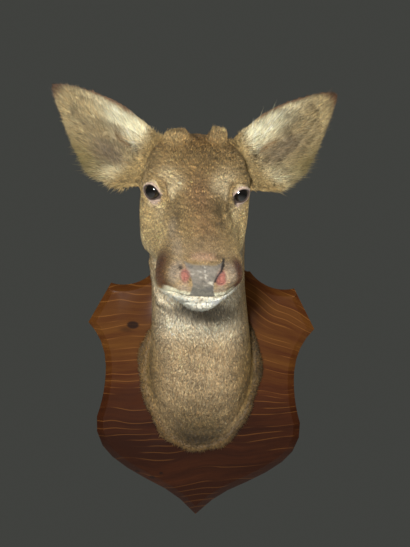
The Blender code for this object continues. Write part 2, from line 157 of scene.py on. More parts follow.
def normals_of(mesh):
    return rows_of(mesh.vertices, "normal", 3)


def edges_of(mesh):
    return rows_of(mesh.edges, "vertices", 2, int)


def move_points(mesh, points):
    mesh.vertices.foreach_set("co", points.astype(np.float32).ravel())
    mesh.update()


def apply(made, kind, **settings):
    """Adds a modifier with these settings and applies it."""
    select_only(made)
    modifier = made.modifiers.new(kind.lower(), kind)
    for name, value in settings.items():
        setattr(modifier, name, value)
    bpy.ops.object.modifier_apply(modifier=modifier.name)


print("corners on the plain head:", len(points_of(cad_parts["head"].data)))


# %% The joined and remeshed skin
ZONE_OF = {  # each solid of the animal, and the part whose coat it carries
    "head": "face", "lower_jaw": "jaw", "nose": "nose", "neck": "neck", "hide_hem": "hem",
    "ear_left": "ear_left", "ear_right": "ear_right", "pedicle_left": "pedicle", "pedicle_right": "pedicle",
}
FLESH = tuple(ZONE_OF)
EYES = ("eye_left", "eye_right")
SWELL = {"ear_left": 1.7, "ear_right": 1.7}  # the ears are thin, so they are swollen more
LEAST_SWELL = 0.6
VOXEL = 3.1 * MM

copies = [merged_copy(node, "skin_" + node) for node in FLESH + EYES]
for node, made in zip(FLESH, copies):
    apply(made, "DISPLACE", mid_level=0, strength=SWELL.get(node, LEAST_SWELL) * MM)
skin = copies[0]
select_only(*copies)
bpy.ops.object.join()
skin.name = skin.data.name = "skin"
apply(skin, "REMESH", mode="VOXEL", voxel_size=VOXEL)
apply(skin, "SMOOTH", factor=0.5, iterations=3)
print("skin faces:", len(skin.data.polygons))

# %% [markdown]
# ## Which part of the animal a point belongs to
#
# Hair length, hair direction and colour change from the face to the ears and down the neck.  Each point
# of the skin takes the name of the nearest plain solid.  The names are then turned into shares, and the
# shares are blurred along the net, so that one part passes softly into the next.

# %% Shares of each part
ZONES = tuple(dict.fromkeys(ZONE_OF.values()))


def spread(values, edges, times):
    """Blurs the values of each point along the net.  There is one column for each value."""
    a, b = edges.T
    count = np.bincount(a, minlength=len(values)) + np.bincount(b, minlength=len(values))
    for _ in range(times):
        total = np.zeros_like(values)
        np.add.at(total, a, values[b])
        np.add.at(total, b, values[a])
        values = (values + total / count[:, None]) / 2
    return values


def zone_shares(mesh, times):
    corners, faces, labels = [], [], []
    for node in FLESH:
        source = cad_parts[node].data
        start = len(corners)
        corners += [v.co for v in source.vertices]
        faces += [[start + i for i in face.vertices] for face in source.polygons]
        labels += [ZONES.index(ZONE_OF[node])] * len(source.polygons)
    tree = BVHTree.FromPolygons(corners, faces)
    shares = np.zeros((len(mesh.vertices), len(ZONES)))
    for i, vertex in enumerate(mesh.vertices):
        shares[i, labels[tree.find_nearest(vertex.co)[2]]] = 1
    return spread(shares, edges_of(mesh), times)


def share_of(shares, zone):
    return shares[:, ZONES.index(zone)]


def blend_of(shares, values):
    """One number per point from a number for each zone."""
    return shares @ np.array([values[zone] for zone in ZONES], float)


print("zones:", ZONES)

# %% [markdown]
# ## Room for the coat
#
# The plain solids reach to the tips of the hair.  The skin under a deer's coat lies two to four
# millimetres deeper, and hardly at all under the bare nose, so the net is moved inwards by the depth of
# the coat at each point.

# %% Sink the skin by the depth of the coat
COAT_DEPTH = {
    "face": 1.8, "jaw": 1.6, "nose": 0.2, "neck": 3.2,
    "hem": 1.2, "ear_left": 1.2, "ear_right": 1.2, "pedicle": 2.5,
}
SWOLLEN = {zone: SWELL.get(zone, LEAST_SWELL) for zone in ZONES}
THIN_SHARE = 0.26  # the most of a thin sheet's thickness that goes from each side
THICK = 20 * MM  # thicker places are not thin sheets
RAY_START = 0.00002  # just under the skin


def thickness(mesh, most):
    """How far the far side of the skin is, straight in from each point."""
    faces = [list(face.vertices) for face in mesh.polygons]
    tree = BVHTree.FromPolygons([v.co for v in mesh.vertices], faces)
    found = np.full(len(mesh.vertices), most)
    for i, vertex in enumerate(mesh.vertices):
        hit = tree.ray_cast(vertex.co - vertex.normal * RAY_START, -vertex.normal, most)
        if hit[3]:
            found[i] = hit[3]
    return found


shares = zone_shares(skin.data, 6)
depth = (blend_of(shares, COAT_DEPTH) + blend_of(shares, SWOLLEN)) * MM
depth = np.minimum(depth, thickness(skin.data, THICK) * THIN_SHARE)
depth = spread(depth[:, None], edges_of(skin.data), 3)
move_points(skin.data, points_of(skin.data) - normals_of(skin.data) * depth)
apply(skin, "SMOOTH", factor=0.5, iterations=2)
print("coat depth, mm:", (depth.min() / MM).round(1), "to", (depth.max() / MM).round(1))

# %% [markdown]
# ## A finer net where the face needs it
#
# Lids, nostrils and lips have details of a millimetre or less.  Only the faces round them are subdivided,
# so the skin stays light elsewhere.

# %% Finer faces round the eyes and the muzzle
EYE_PLACE = np.array((51.0, 10.0, 1.0))
EYE_RADIUS = 14.5
SIDES = {1: "left", -1: "right"}  # the animal's left is at +x


def mirrored(point, side):
    return np.array(point, float) * (side, 1, 1)


def refine(made, chosen):
    """Subdivides the faces whose corners are all chosen, and cuts them into triangles."""
    select_only(made)
    for items in (made.data.vertices, made.data.edges):
        items.foreach_set("select", np.zeros(len(items), bool))
    faces = made.data.polygons
    faces.foreach_set("select", [all(chosen[i] for i in face.vertices) for face in faces])
    bpy.ops.object.mode_set(mode="EDIT")
    bpy.ops.mesh.select_mode(type="FACE")
    bpy.ops.mesh.subdivide(number_cuts=1, smoothness=0)
    bpy.ops.mesh.quads_convert_to_tris()
    bpy.ops.object.mode_set(mode="OBJECT")


def eye_distance(head_points):
    centres = [mirrored(EYE_PLACE, side) for side in SIDES]
    return np.min([np.linalg.norm(head_points - centre, axis=1) for centre in centres], axis=0)


# for each pass: where the muzzle begins, over which height it counts, and the reach round each eye
for muzzle, foot, reach in ((-112, -math.inf, 31), (-148, -58, 22)):
    at = to_head(points_of(skin.data))
    chosen = (at[:, 1] < muzzle) & (at[:, 2] > foot) | (eye_distance(at) < reach)
    refine(skin, chosen.tolist())
print("skin faces:", len(skin.data.polygons))

# %% [markdown]
# ## Lids
#
# A taxidermist sets a glass eye in clay and tucks the skin of the lids over it.  The net is first pushed
# out over the eyeball.  The almond-shaped opening is then found as a curve on the ball: corners next to
# it are slid onto it, which makes a smooth edge, and every corner inside it drops below the glass.

# %% The opening between the lids
LID_THICK = 1.3
LID_DROP = 3.5  # how far under the eyeball's surface the skin inside the opening lies
LID_BLEND = 1.6  # how softly the skin leaves the ball
LID_REACH = 12  # how far over the ball the skin is still moved
# For each side: the turn of the opening away from straight ahead, its half width and its heights
# above and below the middle, all in degrees over the eyeball, and how far its front corner dips.
OPENING = {1: (25, 50, 34, 36, 12), -1: (34, 52, 38, 44, 5)}


def eye_axes(side):
    """Rows: out through the middle of the opening, towards its front corner, and up."""
    turn, _, _, _, dip = OPENING[side]
    aside, ahead = math.sin(math.radians(turn)), math.cos(math.radians(turn))
    out = Vector((side * aside, -ahead, 0.04)).normalized()
    front = Vector((-side * ahead, -aside, 0))
    up = out.cross(front) * -side
    tilt = Matrix.Rotation(math.radians(dip) * side, 3, out)
    return np.array((out, tilt @ front, tilt @ up))


def opening_value(head_points, side):
    """Below 0 inside the opening, 0 on its edge, 1 at about its half height outside it."""
    _, wide, high, low, _ = OPENING[side]
    out, front, up = ((head_points - mirrored(EYE_PLACE, side)) @ eye_axes(side).T).T
    across = np.arctan2(front, out) / math.radians(wide)
    reach = np.sqrt(out**2 + front**2 + up**2)
    rise = np.arcsin(np.clip(up / reach, -1, 1)) / np.radians(np.where(up > 0, high, low))
    arch = np.clip(1 - across**2, 0, 1) ** 0.8
    return np.abs(rise) - arch + np.clip(np.abs(across) - 1, 0, None)


def eye_reach(head_points, side):
    away = head_points - mirrored(EYE_PLACE, side)
    reach = np.linalg.norm(away, axis=1)
    return away / reach[:, None], reach


print("the openings look along", [eye_axes(side)[0].round(2).tolist() for side in SIDES])


# %% Lids over the eyeballs
def snap_to_edge(head_points, edges, value):
    """Slides the nearer end of every edge that crosses the opening's edge onto it."""
    a, b = edges.T
    crossing = np.flatnonzero(value[a] * value[b] < 0)
    a, b = a[crossing], b[crossing]
    share = value[a] / (value[a] - value[b])
    mover = np.where(share < 0.5, a, b)
    place = head_points[a] + (head_points[b] - head_points[a]) * share[:, None]
    travel = np.linalg.norm(place - head_points[mover], axis=1)
    order = np.argsort(-travel)
    head_points[mover[order]] = place[order]
    value[mover] = 0


def make_lids(mesh, side):
    at = to_head(points_of(mesh))
    out, reach = eye_reach(at, side)
    shell = EYE_RADIUS + LID_THICK
    near = reach < shell + LID_REACH
    over = reach - shell
    pushed = shell + (over + np.sqrt(over**2 + LID_BLEND**2)) / 2
    at[near] = (mirrored(EYE_PLACE, side) + out * pushed[:, None])[near]
    value = np.where(near, opening_value(at, side), 9.0)
    snap_to_edge(at, edges_of(mesh), value)
    out, reach = eye_reach(at, side)
    inside = near & (value < 0)
    at[inside] = (mirrored(EYE_PLACE, side) + out * (EYE_RADIUS - LID_DROP))[inside]
    move_points(mesh, to_room(at))
    return inside.sum()


for side in SIDES:
    print("corners under the glass:", make_lids(skin.data, side))

# %% [markdown]
# ## Sculpting in code
#
# A face is shaped by dabs and strokes.  A dab moves the points near a centre, most at the centre and less
# further out; a stroke raises a ridge or sinks a crease along a line.  In the sculpt mode each would be
# one touch of the brush.  Written down, they can be mirrored, measured and tried again.

# %% Dabs and strokes
def falloff(distance, hardness=2):
    return np.exp(-np.abs(distance) ** hardness)


def near(points, centre, reach, hardness=2):
    """1 at the middle of an egg-shaped patch, falling to 0 outside it."""
    return falloff(np.linalg.norm((points - centre) / np.array(reach, float), axis=1), hardness)


def line_distance(points, path):
    """Distance from each point to a line through the places of a path."""
    best = np.full(len(points), np.inf)
    path = np.array(path, float)
    for start, end in zip(path, path[1:]):
        along = end - start
        share = np.clip((points - start) @ along / (along @ along), 0, 1)
        best = np.minimum(best, np.linalg.norm(points - start - share[:, None] * along, axis=1))
    return best


print("a dab at half its reach has", falloff(0.5).round(2), "of its strength")

# %% Where the face is touched
DABS = (  # centre, reach, push in millimetres, on the animal's left and then mirrored
    ((30, -62, 8), (9, 26, 12), (-2.2, 0.5, -1.5)),  # the hollow in front of the eye
    ((63, 32, 22), (10, 14, 12), (-2.0, 0, -1.0)),  # the temple
    ((58, 8, -48), (14, 32, 24), (1.5, 0, 0)),  # the chewing muscle
    ((20, -148, 0), (9, 9, 8), (0, 1.0, -1.8)),  # above the nostril
    ((31, -166, -15), (6.5, 8, 10), (2.0, -2.4, 0)),  # the wing of the nostril
    ((28, -168, -28), (9, 8, 6), (1.0, -1.6, 0)),  # its foot
    ((42, -136, -30), (12, 30, 18), (2.6, 0, 0)),  # the upper lip
    ((20, -172, -17), (4.5, 6, 7), (0, -2.5, 0)),  # the floor of the nostril is shallow
    ((0, -12, 42), (12, 30, 14), (0, 0, -0.6)),  # the dish of the forehead
)
SINGLE_DABS = (  # not mirrored
    ((-42, -141, -40), (12, 25, 13), (-4.6, 0, -5.6)),  # the lip hangs fuller on the animal's right
    ((-33, -154, -53), (11, 16, 9), (-4.0, 0, -2.0)),  # and so does the corner of the chin
    ((-2, -160, -57), (26, 14, 9), (0, -3.5, -3.0)),  # the front of the chin
)
UNDER_LID = ((38, -18, -4), (45, -10, -13), (54, -3, -17), (64, 7, -14))
TEAR_GROOVE = ((36, -21, 0), (33, -34, 0), (30, -47, 1))
STROKES = (  # width, height, path; a height below 0 is a crease
    (6, 2.2, ((37, -24, 20), (43, -9, 28), (53, 4, 29), (63, 17, 22), (70, 30, 9))),  # brow
    (2.0, -1.7, ((37, -19, 6), (41, -11, 15), (49, -4, 20), (58, 2, 18), (66, 12, 9))),  # over the lid
    (2.0, -0.9, UNDER_LID),
    (2.6, -1.8, TEAR_GROOVE),
    (6, 1.4, ((55, -14, -22), (49, -45, -25), (42, -80, -27))),  # the crest of the cheek
    # the edge of the nose pad, its middle, and the rim over it
    (1.2, -0.7, ((21.5, -165, -4), (15, -174, -13), (12.5, -178, -22), (12, -180, -32), (15, -176, -41))),
    (1.4, -0.7, ((0, -174, -8), (0, -180, -22), (0, -181, -34), (0, -178, -43))),
    (3.5, 0.9, ((24, -159, 0), (0, -161, 4))),
)
MOUTH_HEIGHT = -43.5
MOUTH_CORNER = -96
LIP_GROOVE, LIP_ROLL = 3.4, 0.9  # depth and height
print("dabs and strokes:", len(DABS) + len(SINGLE_DABS) + len(STROKES))


# %% The mouth and the whole head
def above_mouth(at):
    """Height over the line between the lips, which droops to the corner on the animal's right."""
    droop = np.interp(at[:, 1], (-172, -150), (0, 1)) * np.where(at[:, 0] < 0, 6.5, 0.5)
    return at[:, 2] - MOUTH_HEIGHT + droop


def sculpt_mouth(at, normals):
    """The line between the lips, and the roll of the upper lip over it."""
    rise = above_mouth(at)
    along = np.clip((MOUTH_CORNER - at[:, 1]) / 14, 0, 1) * np.interp(at[:, 1], (-158, -140), (1, 0.4))
    groove = falloff(rise / 1.7) * LIP_GROOVE
    roll = falloff((rise - 4.5) / 3.2) * LIP_ROLL
    return at + normals * ((roll - groove) * along)[:, None]


def sculpt_head(mesh):
    at = to_head(points_of(mesh))
    normals = normals_of(mesh) @ HEAD_AXES
    for side in SIDES:
        for centre, reach, push in DABS:
            at = at + near(at, mirrored(centre, side), reach)[:, None] * mirrored(push, side)
        for width, height, path in STROKES:
            distance = line_distance(at, mirrored(path, side))
            at = at + normals * (height * falloff(distance / width))[:, None]
    for centre, reach, push in SINGLE_DABS:
        at = at + near(at, centre, reach)[:, None] * np.array(push)
    at = sculpt_mouth(at, normals)
    move_points(mesh, to_room(at))


sculpt_head(skin.data)
print("head sculpted, corners:", len(skin.data.vertices))

# %% [markdown]
# ## Ears, the welt and a fold of the neck
#
# Each ear gets its own axes, one along it from root to tip and one across it towards its upper edge, so
# one list of strokes serves both.  The hide's cut edge stands as a welt on the shield with a groove
# inside it, and a loose fold hangs behind the corner of the mouth on the animal's right.

# %% Strokes on the ears, the welt and the neck
EAR_ROOT = np.array((54.0, 52.0, 22.0))
EAR_TIP = {1: np.array((180.0, 123.0, 92.0)), -1: np.array((188.0, 123.0, 92.0))}
EAR_FACING = np.array((0.08, -0.87, 0.52))
EAR_STROKES = (  # in millimetres along and across the ear
    (5, -2.6, ((34, -6), (52, -8), (70, -10))),  # the opening of the ear
    (3.5, 0.8, ((45, -26), (80, -20), (120, -8))),
    (3.5, 0.7, ((40, -40), (75, -34), (115, -20))),
    (3.5, 0.6, ((50, 12), (85, 10), (120, 4))),
)
NECK_STROKES = (  # in millimetres in the room's axes: the loose fold, and the groove beside it
    (5.0, 2.6, ((-73, -206, 180), (-72, -200, 163), (-67, -196, 143), (-59, -199, 128), (-53, -207, 124))),
    (2.8, -1.3, ((-68, -208, 172), (-65, -206, 154), (-57, -211, 135), (-48, -216, 128))),
)
HEM_GROOVE = 9  # counts where neck and welt share a point, a quarter of it at the most


def ear_axes(side):
    """Rows: along the ear, out of its hollow, and across it."""
    along = EAR_TIP[side] - EAR_ROOT
    along = along / np.linalg.norm(along)
    facing = EAR_FACING - along * (EAR_FACING @ along)
    facing = facing / np.linalg.norm(facing)
    return np.array((along, facing, np.cross(facing, along)))


def on_ear(head_points, side):
    """Two columns: along the ear and across it."""
    along, _, across = ((head_points * (side, 1, 1) - EAR_ROOT) @ ear_axes(side).T).T
    return np.column_stack((along, across))


def ear_facing(normals, side):
    """1 where the skin faces out of the ear's hollow, -1 on its back."""
    return ((normals @ HEAD_AXES) * (side, 1, 1)) @ ear_axes(side)[1]


def sculpt_rest(mesh, shares):
    points, normals = points_of(mesh), normals_of(mesh)
    at, raised = to_head(points), np.zeros(len(points))
    for side, name in SIDES.items():
        hollow = share_of(shares, "ear_" + name) * np.clip(ear_facing(normals, side), 0, 1)
        for width, height, path in EAR_STROKES:
            raised += hollow * height * falloff(line_distance(on_ear(at, side), path) / width)
    for width, height, path in NECK_STROKES:
        raised += height * falloff(line_distance(points / MM, path) / width)
    raised -= HEM_GROOVE * share_of(shares, "hem") * share_of(shares, "neck")
    move_points(mesh, points + normals * raised[:, None] * MM)


sculpt_rest(skin.data, zone_shares(skin.data, 2))
select_only(skin)
bpy.ops.object.shade_smooth()
skin.data.calc_loop_triangles()
print("skin triangles:", len(skin.data.loop_triangles))

# %% [markdown]
# ## Colour, and one way to add a node
#
# Colours are noted as hex values, as picked by eye on a screen, and turned to the linear values that
# Blender works in.  One helper adds a shader node together with its settings and links.

# %% Colours and nodes
def linear(hex_colour):
    parts = np.array([int(hex_colour[i : i + 2], 16) / 255 for i in (0, 2, 4)])
    return np.where(parts <= 0.04045, parts / 12.92, ((parts + 0.055) / 1.055) ** 2.4)


def add_node(tree, kind, inputs=(), output=0, stops=(), **settings):
    """Adds a shader node with its settings and links, and gives back one of its output sockets.

    Inputs come in order, or by name or number.  Each is a value, or a socket that it is linked from.
    Stops are the places and hex colours of a ramp."""
    node = tree.nodes.new("ShaderNode" + kind)
    for name, value in settings.items():
        setattr(node, name, value)
    for key, value in inputs.items() if isinstance(inputs, dict) else enumerate(inputs):
        if isinstance(value, bpy.types.NodeSocket):
            tree.links.new(value, node.inputs[key])
        else:
            node.inputs[key].default_value = value
    elements = node.color_ramp.elements if stops else ()
    while len(elements) < len(stops):
        elements.new(0.5)
    for element, (place, colour) in zip(elements, stops):
        element.position = place
        element.color = (*linear(colour), 1)
    return node.outputs[output]


def new_material(name, roughness, **shine):
    """A Principled material, its tree and its shader.  Other sockets are given by name."""
    made = bpy.data.materials.new(name)
    made.use_nodes = True
    shader = made.node_tree.nodes["Principled BSDF"]
    shader.inputs["Roughness"].default_value = roughness
    for socket, value in shine.items():
        shader.inputs[socket.replace("_", " ")].default_value = value
    return made, made.node_tree, shader


def connect(shader, **sockets):
    """Links sockets to the shader's inputs of these names."""
    for name, socket in sockets.items():
        shader.id_data.links.new(socket, shader.inputs[name.replace("_", " ")])


print("oak brown in linear light:", linear("774f2b").round(3))

# %% [markdown]
# ## The markings, painted once for skin and hair
#
# The hide and the hairs on it must carry the same colours, so one function gives the colour of any place
# on the animal.  It starts from the brown of the head and the olive of the neck and lays soft patches
# over them: cream brows, a russet bridge, a white lip and chin.  Some of the patches are painted shade
# and shadow: in the hollows before the eyes, in the creases and the nostril openings, under the chin and
# low on the neck.

# %% Shades
# some of these are painted shade and shadow rather than the hair's own colour: the dark of the hollows
# before the eyes, of the creases and of the nostril openings, the shadow under the chin, and the shade low
# on the neck and the hem
SHADES = {
    "side": "977e52", "forehead": "82693f", "crown": "886739", "bridge": "8e6d47", "muzzle": "8d7757",
    "brow": "cdb88f", "cheek": "bba270", "hollow": "584627", "frost": "a69479", "lip_dark": "4b2703",
    "lip_red": "4c240e", "rim": "b39072", "wing": "a4927b", "flake": "d3cab6", "nostril_edge": "93725f",
    "pad_dark": "54504b", "pad": "756d60", "pad_low": "646054", "pink": "915b4c", "slit": "1d1410",
    "lip": "dbd4b5", "chin": "fbf7e3", "lid": "b9a08f", "lid_edge": "4a3a30", "crease_shade": "6a4c28",
    "chin_shadow": "3a2e1d", "throat": "ebddbe", "chest": "c3a981", "belly": "7c6741", "flank": "775e30",
    "nape": "6c552a", "shade_by_shield": "2f210e", "hem": "705731", "under_jaw": "9c8c68", "ear_hollow": "75654b",
    "ear_cream": "e6dab4", "ear_skin": "a08d64", "ear_gold": "6f623b", "ear_tip": "63432a",
    "ear_back": "6b5836", "ear_root": "8c774e", "pedicle": "b49f70",
}
print("shades:", len(SHADES))

# %% Patches of the face
BOTH, LEFT, RIGHT, MIDDLE = (1, -1), (1,), (-1,), (1,)
PATCHES = (  # shade, strength, hardness, centre, reach, sides
    ("forehead", 0.95, 2, (0, 5, 42), (44, 44, 24), MIDDLE),
    ("crown", 0.8, 2, (0, 62, 48), (52, 30, 26), MIDDLE),
    ("bridge", 0.95, 2, (0, -62, 27), (17, 52, 16), MIDDLE),
    ("bridge", 0.7, 2, (4, -120, 14), (17, 34, 14), MIDDLE),
    ("muzzle", 0.7, 2, (0, -146, 2), (36, 18, 20), MIDDLE),
    ("ear_root", 0.7, 2, (64, 38, 12), (17, 34, 32), BOTH),
    ("cheek", 0.95, 2, (60, -15, -38), (22, 52, 34), BOTH),
    ("cheek", 0.8, 2, (45, -78, -20), (13, 46, 20), BOTH),
    ("brow", 0.7, 3, (28, -27, 26), (11, 17, 12), RIGHT),
    ("brow", 1.0, 3, (26, -28, 27), (14, 20, 14), LEFT),
    ("brow", 0.9, 3, (34, -30, 16), (7, 12, 9), BOTH),
    ("brow", 0.6, 2, (40, -8, 30), (14, 14, 10), BOTH),
    ("brow", 0.5, 2, (49, -20, -14), (14, 16, 10), BOTH),
    # painted shade in the hollows before the eyes and at their inner corners
    ("hollow", 0.75, 2, (28, -76, 9), (8, 28, 11), RIGHT),
    ("hollow", 0.85, 2, (21, -76, 16), (9, 30, 11), LEFT),
    ("hollow", 0.5, 2, (35, -38, 3), (5, 20, 7), BOTH),
    ("frost", 0.75, 2, (35, -92, -1), (6, 22, 8), RIGHT),
    ("frost", 0.75, 2, (29, -136, -2), (7, 26, 8), RIGHT),
    ("lip_dark", 0.6, 2, (50, -118, -34), (12, 22, 14), BOTH),
    ("lip_dark", 0.95, 2, (46, -136, -20), (14, 24, 14), RIGHT),
    ("lip_dark", 0.95, 3, (43, -150, -37), (14, 22, 10), RIGHT),
    ("lip_dark", 0.9, 2, (45, -144, -28), (13, 19, 11), RIGHT),
    ("lip_red", 0.95, 4, (41, -151, -19), (10, 18, 14), LEFT),
    ("lip_red", 0.9, 4, (40, -154, -35), (10, 16, 9), LEFT),
    ("wing", 1.0, 3, (31, -166, -18), (8, 13, 14), BOTH),
    ("wing", 0.9, 3, (20, -177, -31), (8, 9, 6), BOTH),
    ("wing", 0.8, 3, (29, -165, -7), (7, 8, 6), BOTH),
    ("rim", 0.85, 3, (0, -162, 2), (23, 8, 5), MIDDLE),
)
# painted shade along the creases over and under the lids and down the tear groove
CREASE_SHADE_LINES = (  # shade, strength, width, path
    ("crease_shade", 1.0, 2.3, ((35, -20, 8), (40, -12, 17), (49, -4, 22), (58, 2, 20), (67, 12, 10))),
    ("crease_shade", 0.5, 1.5, UNDER_LID),
    ("hollow", 0.6, 2.4, TEAR_GROOVE),
)
print("patches and lines:", len(PATCHES) + len(CREASE_SHADE_LINES))


# %% Soft steps, slow waves and laying on a shade
def smooth_step(low, high, value):
    share = np.clip((value - low) / (high - low), 0, 1)
    return share * share * (3 - 2 * share)


def slow_waves(points, length, seed, count=7):
    """A smooth random value between about -1 and 1 that changes over the given length, in millimetres."""
    draw = np.random.default_rng(seed)
    value = np.zeros(len(points))
    for _ in range(count):
        direction = draw.normal(size=3)
        direction *= math.tau / length / np.linalg.norm(direction) * draw.uniform(0.6, 1.5)
        value += np.sin(points / MM @ direction + draw.uniform(0, math.tau))
    return value / math.sqrt(count / 2) / 1.6


def plain(shade, count):
    return np.tile(linear(SHADES[shade]), (count, 1))


def lay(colours, *layers):
    """Lays shades over the colours one after another, as strongly as each point's number says."""
    for shade, strength in layers:
        colours = colours + (linear(SHADES[shade]) - colours) * np.clip(strength, 0, 1)[:, None]
    return colours


print("a soft step a quarter of the way up:", smooth_step(0, 1, 0.25).round(3))

# %% Bare places of the face
PAD_FOOT = -43
PAD_HALVES = ((PAD_FOOT, -34, -24, -18, -10, -4), (14.5, 12.5, 11.5, 13.5, 18.5, 22.5))  # at these heights
LID_PATCH = 9  # how far out over the eyeball the lids are looked for
FAR = 99.0


def pad_share(at):
    """1 on the bare nose pad: a wide top between the nostrils' upper ends, a waist, and a foot."""
    x, y, z = at.T
    half = np.interp(z, *PAD_HALVES)
    top = -5.4 + 1.6 * (1 - (x / 22) ** 2)
    outside = np.maximum(np.maximum(np.abs(x) - half, z - top), PAD_FOOT - z)
    return smooth_step(1.0, -0.6, outside) * smooth_step(-152, -158, y)


def pink_share(at):
    """1 on the painted floor of each nostril, which narrows towards its upper end."""
    share = np.zeros(len(at))
    for side in SIDES:
        centre = mirrored((20.5, -173, -16.5), side)
        share = np.maximum(share, near(at, centre, (6.2, 14, 9.5), 5))
    return np.maximum(share, near(at, (20, -176, -21), (7.5, 12, 5.5), 5))


def lid_reach(at):
    """Distance from the nearer lid's edge, in millimetres; FAR away from the eyes."""
    best = np.full(len(at), FAR)
    for side in SIDES:
        _, reach = eye_reach(at, side)
        value = opening_value(at, side) * EYE_RADIUS * math.radians(OPENING[side][2])
        best = np.minimum(best, np.where(reach < EYE_RADIUS + LID_PATCH, value, FAR))
    return best


print("corners on the nose pad:", int((pad_share(to_head(points_of(skin.data))) > 0.5).sum()))

# %% Paint for the face and the neck
# seen from the front, across and up: the flaked skin down the pad, and the slit over the left nostril
PAD_CRACK = ((1, -2), (1.5, -14), (5, -19), (12, -25))
SLIT = ((23, -5), (19, -11), (13.5, -20))


def paint_face(at, colours):
    """Patches, lines round the eyes, lips, nose pad, nostrils and lids, one over another."""
    for shade, strength, hardness, centre, reach, sides in PATCHES:
        for side in sides:
            share = near(at, mirrored(centre, side), reach, hardness)
            colours = lay(colours, (shade, strength * share))
    for shade, strength, width, path in CREASE_SHADE_LINES:
        for side in SIDES:
            distance = line_distance(at, mirrored(path, side))
            colours = lay(colours, (shade, strength * falloff(distance / width)))
    front_view, rise, lid = at[:, (0, 2)], above_mouth(at), lid_reach(at)
    lips = smooth_step(42, 35, np.abs(at[:, 0] + 3)) * smooth_step(-140, -150, at[:, 1])
    pad, nostril = pad_share(at), pink_share(at)
    blotches = slow_waves(at * MM, 6, 21, 9)
    scaly = smooth_step(0.5, -0.4, slow_waves(at * MM, 4, 22, 9))
    crack, slit = line_distance(front_view, PAD_CRACK), line_distance(front_view, SLIT)
    return lay(
        colours,
        ("lip", lips * smooth_step(-1, 0.5, rise) * smooth_step(10, 7, rise)),
        ("pad", pad),
        ("pad_low", pad * smooth_step(-20, -32, at[:, 2])),
        ("pad_dark", pad * 0.45 * smooth_step(0.1, 1.0, blotches)),
        ("flake", pad * 0.5 * falloff(crack / 0.9) * scaly),
        ("flake", pad * 0.55 * near(front_view, (8, -21), (3.0, 1.6), 3)),
        ("flake", pad * 0.2 * smooth_step(-0.8, -1.3, blotches)),
        ("pad_dark", pad * 0.6 * near(front_view, (8, -30), (6, 4), 3)),
        ("nostril_edge", nostril),
        ("pink", smooth_step(0.55, 0.95, nostril)),
        # painted shade: near black in the deep openings of the nostrils
        ("slit", near(at, (-26, -171, -9), (2.6, 8, 2.4), 3)),
        ("slit", falloff(slit / 1.7, 3) * smooth_step(-150, -155, at[:, 1])),
        ("brow", smooth_step(7.5, 5.5, lid) * 0.7),
        ("lid", smooth_step(4.2, 2.6, lid) * 0.9),
        ("lid_edge", smooth_step(0.7, 0.1, lid)),
    )


def paint_neck(points, normals):
    """Olive flanks and a pale throat that grows darker down the neck, with a painted shadow under the chin
    and painted shade low down by the shield.
    """
    x, _, z = (points / MM).T
    facing = smooth_step(-0.1, 0.85, -normals[:, 1] - 0.35 * normals[:, 2])
    facing = facing * falloff((x + 4) / 62, 4)
    # painted shadow: the patch on the throat just under the chin, where the chin's shadow falls
    chin_shadow_area = near(points[:, (0, 2)] / MM, (0, 118), (50, 16), 5)
    return lay(
        plain("flank", len(points)),
        ("nape", smooth_step(0.2, 0.8, normals[:, 2])),
        ("throat", facing * smooth_step(40, 110, z)),
        ("chest", facing * smooth_step(110, 50, z)),
        ("belly", facing * smooth_step(40, -60, z)),
        # painted shadow of the chin on the throat, laid dark into the colour of the hair
        ("chin_shadow", 0.76 * smooth_step(0.1, 0.5, facing) * chin_shadow_area),
        # painted shade: the neck darkens low down towards the shield
        ("shade_by_shield", smooth_step(-40, -85, z) * 0.8),
    )


throat = paint_neck(np.array([[0, -0.3, 0.11]]), np.array([[0, -1, 0]]))
print("upper throat, in linear light:", throat.round(2))


# %% Paint for the ears
def ear_outline(side):
    """Stations along an ear, how far its two edges are from its axis there, and where it ends."""
    along, across = on_ear(to_head(points_of(skin.data)), side).T
    belongs = share_of(ear_shares, "ear_" + SIDES[side]) > 0.5
    stations = np.arange(20, 180, 8)
    low, high = [], []
    for station in stations:
        found = across[belongs & (np.abs(along - station) < 6)]
        low.append(found.min() if len(found) else 0)
        high.append(found.max() if len(found) else 0)
    return stations, low, high, float(along[belongs].max())


def ear_margins(flat, side):
    """How far a place on an ear is inside its lower edge, its upper edge and its tip."""
    along, across = flat.T
    stations, low, high, end = EAR_OUTLINE[side]
    under, over = np.interp(along, stations, low), np.interp(along, stations, high)
    return across - under, over - across, end - along


ear_shares = zone_shares(skin.data, 6)
EAR_OUTLINE = {side: ear_outline(side) for side in SIDES}
# centre, reach and strength of the bald hollow of each ear, along and across it
EAR_HOLLOW = {1: ((61, -19), (33, 12), 0.8), -1: ((53, -27), (25, 13), 1.0)}
EAR_CREASE = ((36, -4), (56, -5))


def hollow_share(flat, side, hardness):
    centre, reach, strength = EAR_HOLLOW[side]
    return strength * near(flat, centre, reach, hardness)


